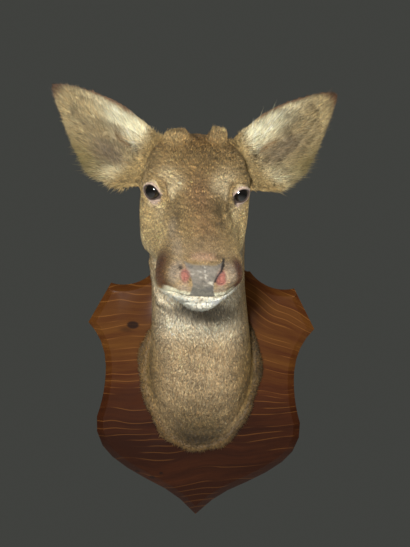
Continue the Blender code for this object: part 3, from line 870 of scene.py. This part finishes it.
def paint_ear(at, normals, side):
    flat = on_ear(at, side)
    along = flat[:, 0]
    under, over, left = ear_margins(flat, side)
    return lay(
        plain("ear_skin", len(at)),
        ("ear_hollow", 0.3 * near(flat, (66, -20), (36, 19), 3)),
        ("ear_gold", near(flat, (70, -52), (50, 16), 2)),
        ("ear_cream", near(flat, (44, 12), (34, 17), 3)),
        ("ear_cream", 0.6 * near(flat, (85, 18), (34, 12), 2)),
        ("ear_cream", 0.45 * near(flat, (22, -42), (22, 14), 2)),
        # painted shade in the crease at the opening of the ear
        ("crease_shade", 0.8 * falloff(line_distance(flat, EAR_CREASE) / 4)),
        ("ear_hollow", hollow_share(flat, side, 5)),
        ("ear_back", smooth_step(0.25, -0.15, ear_facing(normals, side))),
        ("ear_tip", 0.9 * smooth_step(7, 2.5, over) * smooth_step(40, 70, along)),
        ("ear_tip", 0.8 * smooth_step(6, 2, under) * smooth_step(105, 130, along)),
        ("ear_tip", smooth_step(24, 8, left)),
        ("ear_root", smooth_step(34, 16, along)),
    )


print("ears end at, mm:", [round(EAR_OUTLINE[side][-1]) for side in SIDES])


# %% One colour for each place on the animal
def paint(points, normals, shares):
    """The colour of each place on the animal, from its place, its facing and its shares of the zones."""
    at = to_head(points)
    share = {zone: shares[:, i] for i, zone in enumerate(ZONES)}
    jaw_front = smooth_step(-122, -138, at[:, 1]) * smooth_step(46, 38, np.abs(at[:, 0]))
    face = lay(
        plain("side", len(points)),
        ("flank", 0.75 * smooth_step(20, 75, at[:, 1])),
        ("pedicle", share["pedicle"]),
        ("under_jaw", smooth_step(-52, -66, at[:, 2]) * smooth_step(-120, -100, at[:, 1])),
        ("under_jaw", share["jaw"]),
        ("chin", share["jaw"] * jaw_front),
    )
    colours = paint_face(at, face) * (1 - share["neck"] - share["hem"])[:, None]
    colours += paint_neck(points, normals) * share["neck"][:, None]
    # painted shadow: the neck's shadow on the hem on the animal's left
    hem = lay(plain("hem", len(points)), ("shade_by_shield", 0.6 * smooth_step(0.02, 0.06, points[:, 0])))
    colours += hem * share["hem"][:, None]
    for side, name in SIDES.items():
        colours += (paint_ear(at, normals, side) - colours) * share["ear_" + name][:, None]
    return colours


skin_shares = zone_shares(skin.data, 5)
skin_points, skin_normals = points_of(skin.data), normals_of(skin.data)
skin_colours = paint(skin_points, skin_normals, skin_shares)
print("mean colour of the skin, in linear light:", skin_colours.mean(axis=0).round(3))

# %% [markdown]
# ## The hide
#
# Under the hair lies tanned skin with a nap of the shortest hair.  Its colour comes from the markings,
# stored on the net as an attribute.  Fine noise gives the nap.  The nose pad is bare and leathery, so a
# second attribute takes the nap away there and brings small pebbles instead.

# %% Colour and bareness on the skin
def store_colours(mesh, colours):
    layer = mesh.color_attributes.new("markings", "FLOAT_COLOR", "POINT")
    rows = np.column_stack((colours, np.ones(len(colours))))
    layer.data.foreach_set("color", rows.astype(np.float32).ravel())


def store_number(mesh, name, values):
    layer = mesh.attributes.new(name, "FLOAT", "POINT")
    layer.data.foreach_set("value", values.astype(np.float32))


skin_at = to_head(skin_points)
bare = np.maximum(pad_share(skin_at), pink_share(skin_at))
bare = np.maximum(bare, smooth_step(2.4, 1.6, lid_reach(skin_at)))
store_colours(skin.data, skin_colours)
store_number(skin.data, "bare", bare)
print("bare corners:", int((bare > 0.5).sum()))


# %% Deer hide
def deer_hide():
    """Tanned deer skin under a nap of the shortest hair, which makes it dull and soft to the eye.

    The nap's hairs are drawn 1.4 mm apart (0.7 to the millimetre), because real ones are too fine to
    show.  The leather of the nose has pebbles of 1.1 mm and is worn dry in spots of 3 mm."""
    made, tree, shader = new_material("deer_hide", 0.7, Sheen_Weight=0.15, Sheen_Roughness=0.5)
    place = add_node(tree, "TexCoord", output="Object")
    colour = add_node(tree, "VertexColor", layer_name="markings")
    leather = add_node(tree, "Attribute", output="Fac", attribute_name="bare")
    nap = add_node(tree, "TexNoise", {"Vector": place, "Scale": 0.7 / MM, "Detail": 3, "Roughness": 0.6})
    dry = add_node(tree, "TexNoise", {"Vector": place, "Scale": 0.33 / MM, "Detail": 4, "Roughness": 0.65})
    pebbles = add_node(tree, "TexVoronoi", {"Vector": place, "Scale": 0.9 / MM})
    hairy = add_node(tree, "MapRange", (nap, 0.3, 0.7, 0.55, 1.25))
    worn = add_node(tree, "MapRange", (dry, 0.3, 0.7, 0.72, 1.28))
    pits = add_node(tree, "MapRange", (pebbles, 0.0, 0.7, 1.06, 0.9))
    pitted = add_node(tree, "Math", (worn, pits), operation="MULTIPLY")
    shade = add_node(tree, "Mix", {0: leather, 2: hairy, 3: pitted})
    mixed = add_node(tree, "VectorMath", (colour, shade), operation="MULTIPLY")
    height = add_node(tree, "Mix", {0: leather, 2: nap, 3: pebbles})
    bump = add_node(tree, "Bump", {"Height": height, "Strength": 0.5, "Distance": 0.6 * MM})
    connect(shader, Base_Color=mixed, Normal=bump)
    return made


def dress(made, finish, slot, *replaced):
    """Gives a finished piece its material, hangs it under the root and hides the plain parts that it
    replaces.  The slot is not used.
    """
    made.data.materials.clear()
    made.data.materials.append(finish)
    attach(made, "root")
    if replaced:
        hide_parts(*replaced)


dress(skin, deer_hide(), "hide", *FLESH)
print("skin dressed in", skin.data.materials[0].name)

# %% [markdown]
# ## Glass eyes
#
# A glass eye is a dome of clear glass over a painted iris.  Seen from outside it is a very dark brown,
# wet-looking ball.  A clear shell over a painted ball would look the same at this size, so one ball does
# for both.  It is a sphere with a slightly fuller front for the cornea, at the plain eye's place.

# %% Eyes
CORNEA_RISE = 0.7
CORNEA_HALF = 9.5
EYE_GAP = 0.1  # how much smaller the glass is than the plain eye


def glass_eye(side):
    centre = to_room(mirrored(EYE_PLACE, side)[None, :])[0]
    radius = (EYE_RADIUS - EYE_GAP) * MM
    bpy.ops.mesh.primitive_uv_sphere_add(segments=64, ring_count=40, radius=radius, location=centre)
    made = bpy.context.object
    made.name = made.data.name = "glass_eye_" + SIDES[side]
    bpy.ops.object.transform_apply(location=True, rotation=True, scale=True)
    at = to_head(points_of(made.data))
    out, _ = eye_reach(at, side)
    gaze = eye_axes(side)[0]
    across = np.linalg.norm(np.cross(out, gaze), axis=1) * EYE_RADIUS
    front = out @ gaze > 0
    rise = CORNEA_RISE * front * smooth_step(CORNEA_HALF, CORNEA_HALF * 0.6, across)
    move_points(made.data, to_room(at + out * rise[:, None]))
    store_number(made.data, "from_pupil", np.where(front, across, EYE_RADIUS))
    bpy.ops.object.shade_smooth()
    return made


print("cornea rises", CORNEA_RISE, "mm over the ball")


# %% Painted eye glass
def painted_eye_glass():
    """Blown glass over paint: nearly black brown, darkest at the pupil, with a hard wet gloss."""
    shine = {"Coat_Weight": 1.0, "Coat_Roughness": 0.03, "IOR": 1.5}
    made, tree, shader = new_material("painted_eye_glass", 0.12, **shine)
    away = add_node(tree, "Attribute", output="Fac", attribute_name="from_pupil")
    reach = add_node(tree, "MapRange", (away, 0.0, EYE_RADIUS))
    pupil, iris = ((0, "0a0909"), (0.36, "0c0a0a")), ((0.44, "120d0a"), (0.58, "100c0a"))
    edge = ((0.66, "0e0c0b"), (1, "332d28"))
    connect(shader, Base_Color=add_node(tree, "ValToRGB", (reach,), stops=pupil + iris + edge))
    return made


glass = painted_eye_glass()
for side, node in zip(SIDES, EYES):
    dress(glass_eye(side), glass, "eye", node)

# %% [markdown]
# ## The lie of the coat
#
# Hair doesn't stand anyhow: it runs from the nose back over the face, up over the crown, down the cheeks
# and down the neck to the shield, and it fans out from the root of each ear.  Each zone has its own
# direction, the shares of the zones blend them, and slow waves turn the hair a little to and fro.

# %% Direction of the hair
def flat_on(normals, directions):
    """Directions laid into the surface, of length 1."""
    laid = directions - normals * np.sum(normals * directions, axis=1)[:, None]
    return laid / np.maximum(np.linalg.norm(laid, axis=1), 1e-6)[:, None]


def hair_direction(points, normals, shares):
    at = to_head(points)
    x, y, z = at.T
    one = np.ones(len(points))
    share = {zone: shares[:, [i]] for i, zone in enumerate(ZONES)}
    brow = falloff((y + 8) / 24) * falloff((z - 26) / 14)
    crown = smooth_step(10, 40, z) * smooth_step(-60, 10, y)
    muzzle = smooth_step(-140, -165, y)
    face = np.column_stack((
        0.006 * x + 0.5 * np.sign(x) * brow + 0.02 * x * muzzle,
        one,
        0.35 * crown - 0.45 * smooth_step(5, -40, z) + 0.2 * muzzle * smooth_step(-20, 0, z),
    ))
    to_ear = near(np.abs(at) * (1, 0, 1) + at * (0, 1, 0), (55, 42, 20), (17, 26, 26), 3)[:, None]
    face = face * (1 - to_ear) + np.column_stack((np.sign(x), 0.5 * one, 0.35 * one)) * to_ear
    down = np.array((0, 0, -1)) @ HEAD_AXES
    chin = np.array((0, 0.5, 0)) + 0.8 * down + np.column_stack((0.01 * x, 0 * x, 0 * x))
    knob = np.column_stack((0.02 * (np.abs(x) - 25) * np.sign(x), 0.012 * (y - 58) + 0.2, one))
    head = face * (share["face"] + share["nose"]) + chin * share["jaw"] + knob * share["pedicle"]
    room = head @ HEAD_AXES.T
    neck = np.array((0, 0.66, -0.75)) + np.column_stack((0 * x, 0.15 * normals[:, 2], 0 * x))
    around = np.column_stack((points[:, 0], 0 * x - 0.02, points[:, 2] - 0.019)) * 12
    room = room + neck * share["neck"] + around * share["hem"]
    for side, name in SIDES.items():
        flat = on_ear(at, side)
        along, across = flat.T
        facing = smooth_step(-0.2, 0.3, ear_facing(normals, side))
        edge = smooth_step(-28, -46, across) * smooth_step(120, 70, along)
        fan = np.clip(0.15 + 0.010 * (across + 8), -0.3, 0.35) - 0.5 * edge
        fan *= smooth_step(0, 12, ear_margins(flat, side)[1])
        tips = np.column_stack((one - 0.35 * edge, 0.12 * facing, fan * facing))
        room = room + (tips @ ear_axes(side) * (side, 1, 1)) @ HEAD_AXES.T * share["ear_" + name]
    turned = flat_on(normals, room)
    swirl = 0.30 * slow_waves(points, 55, 3) + 0.22 * slow_waves(points, 16, 4)
    return flat_on(normals, turned + np.cross(normals, turned) * swirl[:, None])


skin_flow = hair_direction(skin_points, skin_normals, skin_shares)
print("mean direction of the hair:", skin_flow.mean(axis=0).round(2))

# %% [markdown]
# ## Length, width and number of the hairs
#
# Each hair-shaped tuft stands for a lock of a few dozen hairs.  The locks are shortest and thinnest round
# the nose, a little longer on the brow and the crown, long on the neck, and longest inside the ears.

# %% Tuft sizes in millimetres, and how many stand on a square millimetre
# for each zone: length, width, number, how far it stands up, how much it strays from its neighbours
TUFTS = {
    "face": (5.2, 0.74, 0.86, 0.55, 0.24), "jaw": (8.0, 0.8, 0.8, 1.0, 0.2),
    "nose": (3.0, 0.55, 1.1, 0.6, 0.24), "neck": (9.0, 0.98, 0.45, 0.5, 0.24),
    "hem": (6.0, 1.1, 1.1, 0.9, 0.8), "pedicle": (6.5, 0.85, 1.0, 1.3, 0.3),
    "ear_left": (7.5, 0.75, 0.75, 0.5, 0.2), "ear_right": (7.5, 0.75, 0.75, 0.5, 0.2),
}


def changed(sizes, *changes):
    """Changes the five sizes by shares, one change after another, as strongly as each point says."""
    for strength, change in changes:
        sizes = sizes * (1 + strength[:, None] * change)
    return sizes


def tuft_sizes(points, normals, shares):
    """One column for each number of TUFTS."""
    at = to_head(points)
    face, jaw = share_of(shares, "face"), share_of(shares, "jaw")
    by_column = [dict(zip(TUFTS, column)) for column in zip(*TUFTS.values())]
    sizes = changed(
        np.column_stack([blend_of(shares, values) for values in by_column]),
        (smooth_step(-110, -150, at[:, 1]) * face, (-0.35, -0.28, 0.45, -0.15, 0)),  # the muzzle
        (near(at, (0, 45, 45), (55, 40, 26), 4) * face, (0.45, 0.15, -0.1, 0.8, 0.6)),  # the crown
        (smooth_step(-118, -135, at[:, 1]) * jaw, (-0.12, 0.05, 1.2, -0.3, -0.2)),  # the chin
        (smooth_step(14, 4, lid_reach(at)), (-0.45, -0.3, 0.5, -0.4, 0)),  # round the eyes
    )
    for side, name in SIDES.items():
        ear = share_of(shares, "ear_" + name)
        flat = on_ear(at, side)
        along = flat[:, 0]
        front = smooth_step(0, 0.4, ear_facing(normals, side))
        upper, lower = near(flat, (46, 12), (40, 18), 3), near(flat, (50, -50), (52, 16), 3)
        under, over, left = ear_margins(flat, side)
        margin = np.minimum(np.minimum(over, left), under + 8 * smooth_step(75, 45, along))
        rim = smooth_step(16, 2, margin) * smooth_step(15, 35, along) * ear
        root = smooth_step(42, 24, along) * smooth_step(0.02, 0.5, ear)
        sizes = changed(
            sizes,
            (front * ear, (0.6, -0.35, 0.6, 0.0, -0.1)),
            (np.maximum(upper, lower) * front * ear, (0.7, 0, 0.2, 0.7, 0)),  # the long tufts inside
            (hollow_share(flat, side, 4) * front * ear, (-0.4, -0.1, -0.2, -0.3, 0)),
            (rim, (-0.76, -0.2, 0.3, -0.8, 0)),
            (root, (-0.4, 0.75, 0.9, 1.0, 4.0)),
        )
    return sizes


skin_sizes = tuft_sizes(skin_points, skin_normals, skin_shares)
skin_sizes[:, 2] *= 1 - np.clip(bare, 0, 1)
print("longest tuft, mm:", skin_sizes[:, 0].max().round(1))

# %% [markdown]
# ## Growing the tufts
#
# A tuft is a bent spindle of six triangles: a root just under the skin, a three-cornered waist and a tip.
# Blender could scatter them as particles or instances, but loose hair and instances are lost when a model
# is passed on, so they are written straight into meshes.  They are shared out at random over several
# pieces, each covering the whole animal, which keeps every piece a handy size.

# %% Roots on the skin
UV_NAME = "OFBake"
skin.data.uv_layers.new(name=UV_NAME)
edit_all(skin, bpy.ops.uv.smart_project, angle_limit=math.radians(66), island_margin=0.002)
skin.data.calc_loop_triangles()
triangle_corners = rows_of(skin.data.loop_triangles, "vertices", 3, int)
triangle_loops = rows_of(skin.data.loop_triangles, "loops", 3, int)
skin_uv = rows_of(skin.data.uv_layers[UV_NAME].uv, "vector", 2)
rng = np.random.default_rng(11)


def scatter(number):
    """Picks a triangle and a place in it for each tuft."""
    a, b, c = (skin_points[triangle_corners[:, i]] for i in range(3))
    area = np.linalg.norm(np.cross(b - a, c - a), axis=1) / 2 / MM**2
    expected = np.cumsum(area * number[triangle_corners].mean(axis=1))
    total = int(expected[-1])
    steps = (np.arange(total) + rng.random(total)) / total
    picks = np.searchsorted(expected, steps * expected[-1])
    picks = np.minimum(picks, len(triangle_corners) - 1)
    u, v = rng.random((2, total))
    flip = u + v > 1
    u[flip], v[flip] = 1 - u[flip], 1 - v[flip]
    return picks, np.column_stack((1 - u - v, u, v))


def at_roots(values, picks, weights, corners=triangle_corners):
    """Values of the skin's corners, blended for each root."""
    return np.einsum("ij,ijk->ik", weights, values[corners[picks]])


picks, weights = scatter(skin_sizes[:, 2])
order = rng.permutation(len(picks))
picks, weights = picks[order], weights[order]
zone_of = skin_shares.argmax(axis=1)[triangle_corners[picks, 0]]
print("tufts:", len(picks), {zone: int(np.sum(zone_of == i)) for i, zone in enumerate(ZONES)})

# %% One spindle for each root
TUFT_FACES = np.array(((0, 1, 2), (0, 3, 1), (0, 2, 3), (4, 2, 1), (4, 1, 3), (4, 3, 2)))
# where a tuft's corners lie on the map: a kite about 0.003 across
TUFT_PATCH = 0.0015 * np.array(((0, -1), (-1, 0), (1, 0), (0.1, 0.2), (0, 1)))
ROOT_SINK = 0.35  # millimetres under the skin
WAIST = 0.38  # the widest place, as a share of the length
LENGTH_SPREAD = 0.22
CURL = 0.07  # how far a tip bends aside, as a share of the length


def unit(vectors):
    return vectors / np.linalg.norm(vectors, axis=1)[:, None]


def grow(picks, weights):
    """Corners, colours and map places of the tufts on these roots."""
    count = len(picks)
    roots = at_roots(skin_points, picks, weights)
    normals = unit(at_roots(skin_normals, picks, weights))
    shares = at_roots(skin_shares, picks, weights)
    length, width, _, stand, stray = at_roots(skin_sizes, picks, weights).T
    flow = at_roots(skin_flow, picks, weights)
    aside = np.cross(normals, flow)
    flow = flat_on(normals, flow + aside * (stray * rng.normal(0, 1, count))[:, None])
    aside = np.cross(normals, flow)
    length = length * np.exp(rng.normal(0, LENGTH_SPREAD, count))
    width = width * rng.uniform(0.75, 1.25, count)
    rise = (0.25 + 0.05 * length) * stand
    tip_rise = (0.35 + 0.075 * length) * stand * rng.uniform(0.4, 1.5, count)
    ridge = rise + 0.42 * width
    waist = roots + flow * (WAIST * length * MM)[:, None]
    half = aside * (width / 2 * MM)[:, None]
    bend = aside * (length * rng.normal(0, CURL, count) * MM)[:, None]
    corners = (
        roots - normals * ROOT_SINK * MM,
        waist + half + normals * (rise * MM)[:, None],
        waist - half + normals * (rise * MM)[:, None],
        waist + normals * (ridge * MM)[:, None],
        roots + flow * (length * MM)[:, None] + bend + normals * (tip_rise * MM)[:, None],
    )
    map_places = at_roots(skin_uv, picks, weights, triangle_loops)
    return np.stack(corners, axis=1), tuft_colours(roots, normals, shares), map_places


print("faces of a tuft:", len(TUFT_FACES))


# %% Colours of the tufts
TICKING = 0.24  # how much neighbouring hairs differ
DARK_TIPS = 0.3  # share of the hairs whose tip is dark; the others end in straw colour
TIP_DARK, TIP_STRAW = 0.72, 1.18


def tuft_colours(roots, normals, shares):
    """Markings with the ticking of a deer's coat: dark and straw-coloured hairs among the rest."""
    count = len(roots)
    colours = paint(roots, normals, shares)
    pale = np.clip(share_of(shares, "jaw") * 1.2, 0, 1)
    ticking = (TICKING - 0.17 * pale) * (1 + 0.25 * slow_waves(roots, 30, 8))
    speckle = 1 + 0.9 * share_of(shares, "face") * smooth_step(-120, -80, to_head(roots)[:, 1])
    clumps = speckle * slow_waves(roots, 4.5, 12, 11) + 0.35 * slow_waves(roots, 11, 13, 9)
    colours = colours * np.exp((rng.normal(0, 1, count) + 1.2 * clumps) * ticking)[:, None]
    colours = colours * (1 + 0.12 * slow_waves(roots, 38, 9))[:, None]
    warm = rng.normal(0, 0.05, count)[:, None]
    colours = colours * (1 + warm * (1.2, 0, -1.2))
    tip = np.where(rng.random(count) < DARK_TIPS, TIP_DARK + 0.25 * pale, TIP_STRAW)[:, None]
    base = 0.7 + 0.2 * pale[:, None]
    one = np.ones_like(tip)
    shade = np.stack((base, 0.97 * one, 0.97 * one, 1.05 * one, tip), axis=1)  # for each corner
    return np.clip(colours[:, None, :] * shade, 0.004, 0.92)


print("share of dark tips:", DARK_TIPS)


# %% Tufts into meshes
def tuft_mesh(name, corners, colours, uv):
    """One mesh of closed spindles, with a patch on the map for each."""
    count = len(corners)
    mesh = bpy.data.meshes.new(name)
    mesh.vertices.add(count * 5)
    mesh.vertices.foreach_set("co", corners.astype(np.float32).ravel())
    faces = (TUFT_FACES[None] + 5 * np.arange(count)[:, None, None]).reshape(-1, 3)
    mesh.loops.add(faces.size)
    mesh.loops.foreach_set("vertex_index", faces.astype(np.int32).ravel())
    mesh.polygons.add(len(faces))
    mesh.polygons.foreach_set("loop_start", np.arange(0, faces.size, 3, dtype=np.int32))
    mesh.update(calc_edges=True)
    store_colours(mesh, colours.reshape(-1, 3))
    patches = uv[:, None, None, :] + TUFT_PATCH[TUFT_FACES][None]
    mesh.uv_layers.new(name=UV_NAME).uv.foreach_set("vector", patches.astype(np.float32).ravel())
    return new_object(name, mesh)


print("corners of a tuft:", TUFT_FACES.max() + 1)


# %% [markdown]
# ## The finish of the hair
#
# A deer's winter hair is hollow and stiff, so the coat is dull, with a soft light along its edges.  Every
# tuft carries the colours of its root, waist and tip in its corners.  That way one material serves the
# whole coat: it reads the colours, and a sheen gives the soft light.

# %% Deer hair
def deer_hair():
    """A deer's hollow winter hair, brushed and dry: dull, with a soft light along its edges."""
    shine = {"Sheen_Weight": 0.05, "Sheen_Roughness": 0.4, "Specular_IOR_Level": 0.25}
    made, tree, shader = new_material("deer_hair", 0.62, **shine)
    connect(shader, Base_Color=add_node(tree, "VertexColor", layer_name="markings"))
    return made


MOST_TUFTS = 32500  # six triangles each keep a piece under 200,000
hair = deer_hair()
layer_count = math.ceil(len(picks) / MOST_TUFTS)
for layer in range(layer_count):
    chosen = slice(layer, None, layer_count)
    corners, colours, uv = grow(picks[chosen], weights[chosen])
    dress(tuft_mesh(f"coat_{layer + 1}", corners, colours, uv), hair, "coat")
print("coat pieces:", layer_count, "with", len(picks) * 6, "triangles")

# %% [markdown]
# ## The oak shield
#
# The shield is sawn from one oak board, moulded round its edge and varnished a reddish brown.  The plain
# shield has the right outline already, so a copy keeps it and only gets its sharp edges eased, as sanding
# does.  The wood is what makes it oak: faint growth bands, fine pores, and the pale flecks that run
# across them where the rays of the tree are cut.  They rise a little to the right, and bend down on the
# upper right.  There is a dark knot on the left and a few small holes low down.  A picture of wood could
# be laid on the board, but a pattern worked out in three dimensions runs on over the edges, as grain does.

# %% Shield with eased edges
shield = merged_copy("board", "oak_shield")
apply(shield, "BEVEL", width=0.8 * MM, segments=2, limit_method="ANGLE", angle_limit=math.radians(25))
select_only(shield)
bpy.ops.object.shade_smooth_by_angle(angle=math.radians(30))


# %% Knot and holes in the oak
SOFT = {"interpolation_type": "SMOOTHSTEP"}  # for a range with soft ends
# centre and reach in millimetres, where the full dark begins, and how dark
OAK_MARKS = (
    ((-102, 87), (11, 7), 0.6, 1.0),  # the knot
    ((-112, 80), (16, 6), 0.1, 0.55),  # the dark wood beside it
    ((-89, -131), (5, 3), 0.4, 1.0),  # three small holes low down
    ((-66, -139), (6, 3.2), 0.4, 1.0),
    ((-53, -132), (4, 2.6), 0.4, 1.0),
)


def oak_marks(tree, place):
    """1 in the knot and the holes, fading out round them."""
    dark = 0.0
    for (across, up), (wide, high), edge, strength in OAK_MARKS:
        offset = add_node(tree, "VectorMath", (place, (across * MM, 0, up * MM)), operation="SUBTRACT")
        scale = (1 / (wide * MM), 0, 1 / (high * MM))
        scaled = add_node(tree, "VectorMath", (offset, scale), operation="MULTIPLY")
        length = add_node(tree, "VectorMath", (scaled,), output="Value", operation="LENGTH")
        mark = add_node(tree, "MapRange", (length, 1.0, edge, 0.0, strength), **SOFT)
        dark = add_node(tree, "Math", (dark, mark), operation="MAXIMUM")
    return dark


print("dark marks in the oak:", len(OAK_MARKS))


# %% Varnished oak
FLECK_SPACING = 9.8 * MM
# how often each pattern changes in a metre along the board, into it and up it; detail and roughness
OAK_PATTERNS = (
    ((5, 20, 70), 2.0, 0.5),  # growth bands about 14 mm high
    ((55, 600, 1100), 3.0, 0.6),  # pores: real ones are 0.2 mm across, these stand 0.9 mm apart
    ((9, 30, 22), 2.0, 0.5),  # how the flecks wander
    ((11, 30, 100), 2.0, 0.5),  # where they break off
)


def varnished_oak():
    """Sawn oak, sanded and brushed with a reddish-brown varnish; it is darker towards the foot, partly as
    darker wood and partly as painted shade.

    The varnish gives a soft gloss over open pores and pale ray flecks."""
    shine = {"Coat_Weight": 0.3, "Coat_Roughness": 0.07, "Coat_IOR": 1.5, "Specular_IOR_Level": 0.05}
    made, tree, shader = new_material("varnished_oak", 0.6, **shine)
    place = add_node(tree, "TexCoord", output="Object")
    x, y, z = (add_node(tree, "SeparateXYZ", (place,), output=axis) for axis in "XYZ")

    # the height of each place over the fleck that runs through it: slanted, bent on the upper right
    right = add_node(tree, "MapRange", (x, 0.0, 0.12), **SOFT)
    upper = add_node(tree, "MapRange", (z, -0.03, 0.10), **SOFT)
    bend = add_node(tree, "Math", (right, upper), operation="MULTIPLY")
    slope = add_node(tree, "Math", (bend, 0.52, -0.10), operation="MULTIPLY_ADD")
    slanted = add_node(tree, "Math", (x, slope, z), operation="MULTIPLY_ADD")
    drift = add_node(tree, "TexNoise", {"Vector": place, "Scale": 11, "Detail": 1})
    height = add_node(tree, "Math", (drift, 0.034, slanted), operation="MULTIPLY_ADD")
    grain = add_node(tree, "CombineXYZ", (x, y, height))
    patterns = []
    for scale, detail, roughness in OAK_PATTERNS:
        laid = add_node(tree, "VectorMath", (grain, scale), operation="MULTIPLY")
        inputs = {"Vector": laid, "Scale": 1, "Detail": detail, "Roughness": roughness}
        patterns.append(add_node(tree, "TexNoise", inputs))
    bands, pores, wander, breaks = patterns

    # flecks lie on the crests of a wave up the board, where it isn't broken off, and fade to the foot
    wandered = add_node(tree, "Math", (wander, 5.0), operation="MULTIPLY")
    phase = add_node(tree, "Math", (height, math.tau / FLECK_SPACING, wandered), operation="MULTIPLY_ADD")
    wave = add_node(tree, "Math", (phase,), operation="SINE")
    crest = add_node(tree, "MapRange", (wave, 0.84, 1.0), **SOFT)
    whole = add_node(tree, "MapRange", (breaks, 0.46, 0.58), **SOFT)
    strength = add_node(tree, "MapRange", (z, -0.17, 0.08, 0.14, 0.42), **SOFT)
    fleck = add_node(tree, "Math", (crest, whole), operation="MULTIPLY")
    flecks = add_node(tree, "Math", (fleck, strength), operation="MULTIPLY")

    # lighter towards the top and darker towards the foot, partly darker wood and partly painted shade; half
    # of the two shares is taken off, as the patterns lie round a half
    tone_and_shade = add_node(tree, "MapRange", (z, -0.11, 0.07, -0.515, 0.105), **SOFT)
    for pattern, share in ((bands, 0.75), (pores, 0.32)):
        tone_and_shade = add_node(tree, "Math", (pattern, share, tone_and_shade), operation="MULTIPLY_ADD")
    colour = add_node(tree, "ValToRGB", (tone_and_shade,), stops=((0.0, "281208"), (0.45, "43210d"), (1.0, "6b4419")))
    marks = oak_marks(tree, place)
    faded = add_node(tree, "Math", (marks, 0.9), operation="MULTIPLY")
    for share, shade in ((flecks, "8f5e2c"), (faded, "1d100b")):
        sockets = {0: share, 6: colour, 7: (*linear(shade), 1)}
        colour = add_node(tree, "Mix", sockets, output=2, data_type="RGBA")
    relief = add_node(tree, "Math", (marks, -0.6, pores), operation="MULTIPLY_ADD")
    bump = add_node(tree, "Bump", {"Height": relief, "Strength": 0.3, "Distance": 0.3 * MM})
    connect(shader, Base_Color=colour, Normal=bump)
    return made


dress(shield, varnished_oak(), "oak", "board")
print("shield dressed in", shield.data.materials[0].name)

# %% [markdown]
# ## Plate and screws
#
# The hanging plate and the screws are zinc-plated steel.  The plain model's own plate and screws have all
# the shape they need, so they stay and only get the metal: pale grey, a little mottled where it is dull.

# %% Zinc-plated steel
def zinc_plated_steel():
    """Pressed steel, plated with zinc: dull silver, with clouds about 4 mm across where it has dulled.

    The grain of the plating is too fine to show, so it is drawn 0.7 mm across."""
    made, tree, shader = new_material("zinc_plated_steel", 0.38, Metallic=1.0)
    place = add_node(tree, "TexCoord", output="Object")
    clouds = add_node(tree, "TexNoise", {"Vector": place, "Scale": 0.26 / MM, "Detail": 4})
    mottled = add_node(tree, "ValToRGB", (clouds,), stops=((0.3, "9a9d9f"), (0.7, "c2c4c4")))
    plating = add_node(tree, "TexNoise", {"Vector": place, "Scale": 1.5 / MM, "Detail": 2})
    bump = add_node(tree, "Bump", {"Height": plating, "Strength": 0.15, "Distance": 0.1 * MM})
    connect(shader, Base_Color=mottled, Normal=bump)
    return made


zinc = zinc_plated_steel()
metal = [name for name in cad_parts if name.startswith(("hanger", "fixing"))]
for name in metal:
    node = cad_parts[name]
    node.data.materials.clear()
    node.data.materials.append(zinc)
print("metal pieces:", metal)

# %% [markdown]
# ## Light, floor and background
#
# A fairly small soft light stands beside the camera, a little above and to the left, so the chin and the
# head throw short shadows down and to the right.  Large weak lights fill from below, from behind and from
# both sides.  The floor is well below the shield, pale and plain.

# %% Studio
FLOOR_HEIGHT = -1.3
SURROUND = (0.052, 0.054, 0.049, 1)  # the weak grey light from all round
LIGHTS = (  # name, place, aim, size, watts
    ("key", (-0.14, -1.95, 0.31), (0, -0.2, 0.12), 0.13, 40),
    ("low_fill", (0.25, -1.5, -0.95), (0, -0.2, 0.05), 1.1, 4.4),
    ("back_fill", (0.9, 1.5, 1.3), (0, 0, 0.1), 1.4, 26),
    ("right_fill", (-1.9, -0.1, 0.9), (0, -0.2, 0.1), 1.2, 14),
    ("left_fill", (1.9, -0.3, 0.7), (0, -0.2, 0.1), 1.2, 12),
)
for name, place, aim, size, power in LIGHTS:
    light = new_object(name, bpy.data.lights.new(name, "AREA"))
    light.data.size, light.data.energy = size, power
    light.visible_glossy = name == "key"  # only the key light is mirrored in the eyes and the varnish
    light.location = place
    light.rotation_euler = (Vector(aim) - Vector(place)).to_track_quat("-Z", "Y").to_euler()
world = bpy.data.worlds.new("plain_grey")
world.use_nodes = True
bpy.context.scene.world = world
world.node_tree.nodes["Background"].inputs[0].default_value = SURROUND

bpy.ops.mesh.primitive_plane_add(size=7, location=(0, 0, FLOOR_HEIGHT))
floor = bpy.context.object
floor.name = "floor"
floor_paint, _, shader = new_material("pale_floor_paint", 0.8)
shader.inputs["Base Color"].default_value = (*linear("cfccc6"), 1)
floor.data.materials.append(floor_paint)
print("lights:", len(LIGHTS))
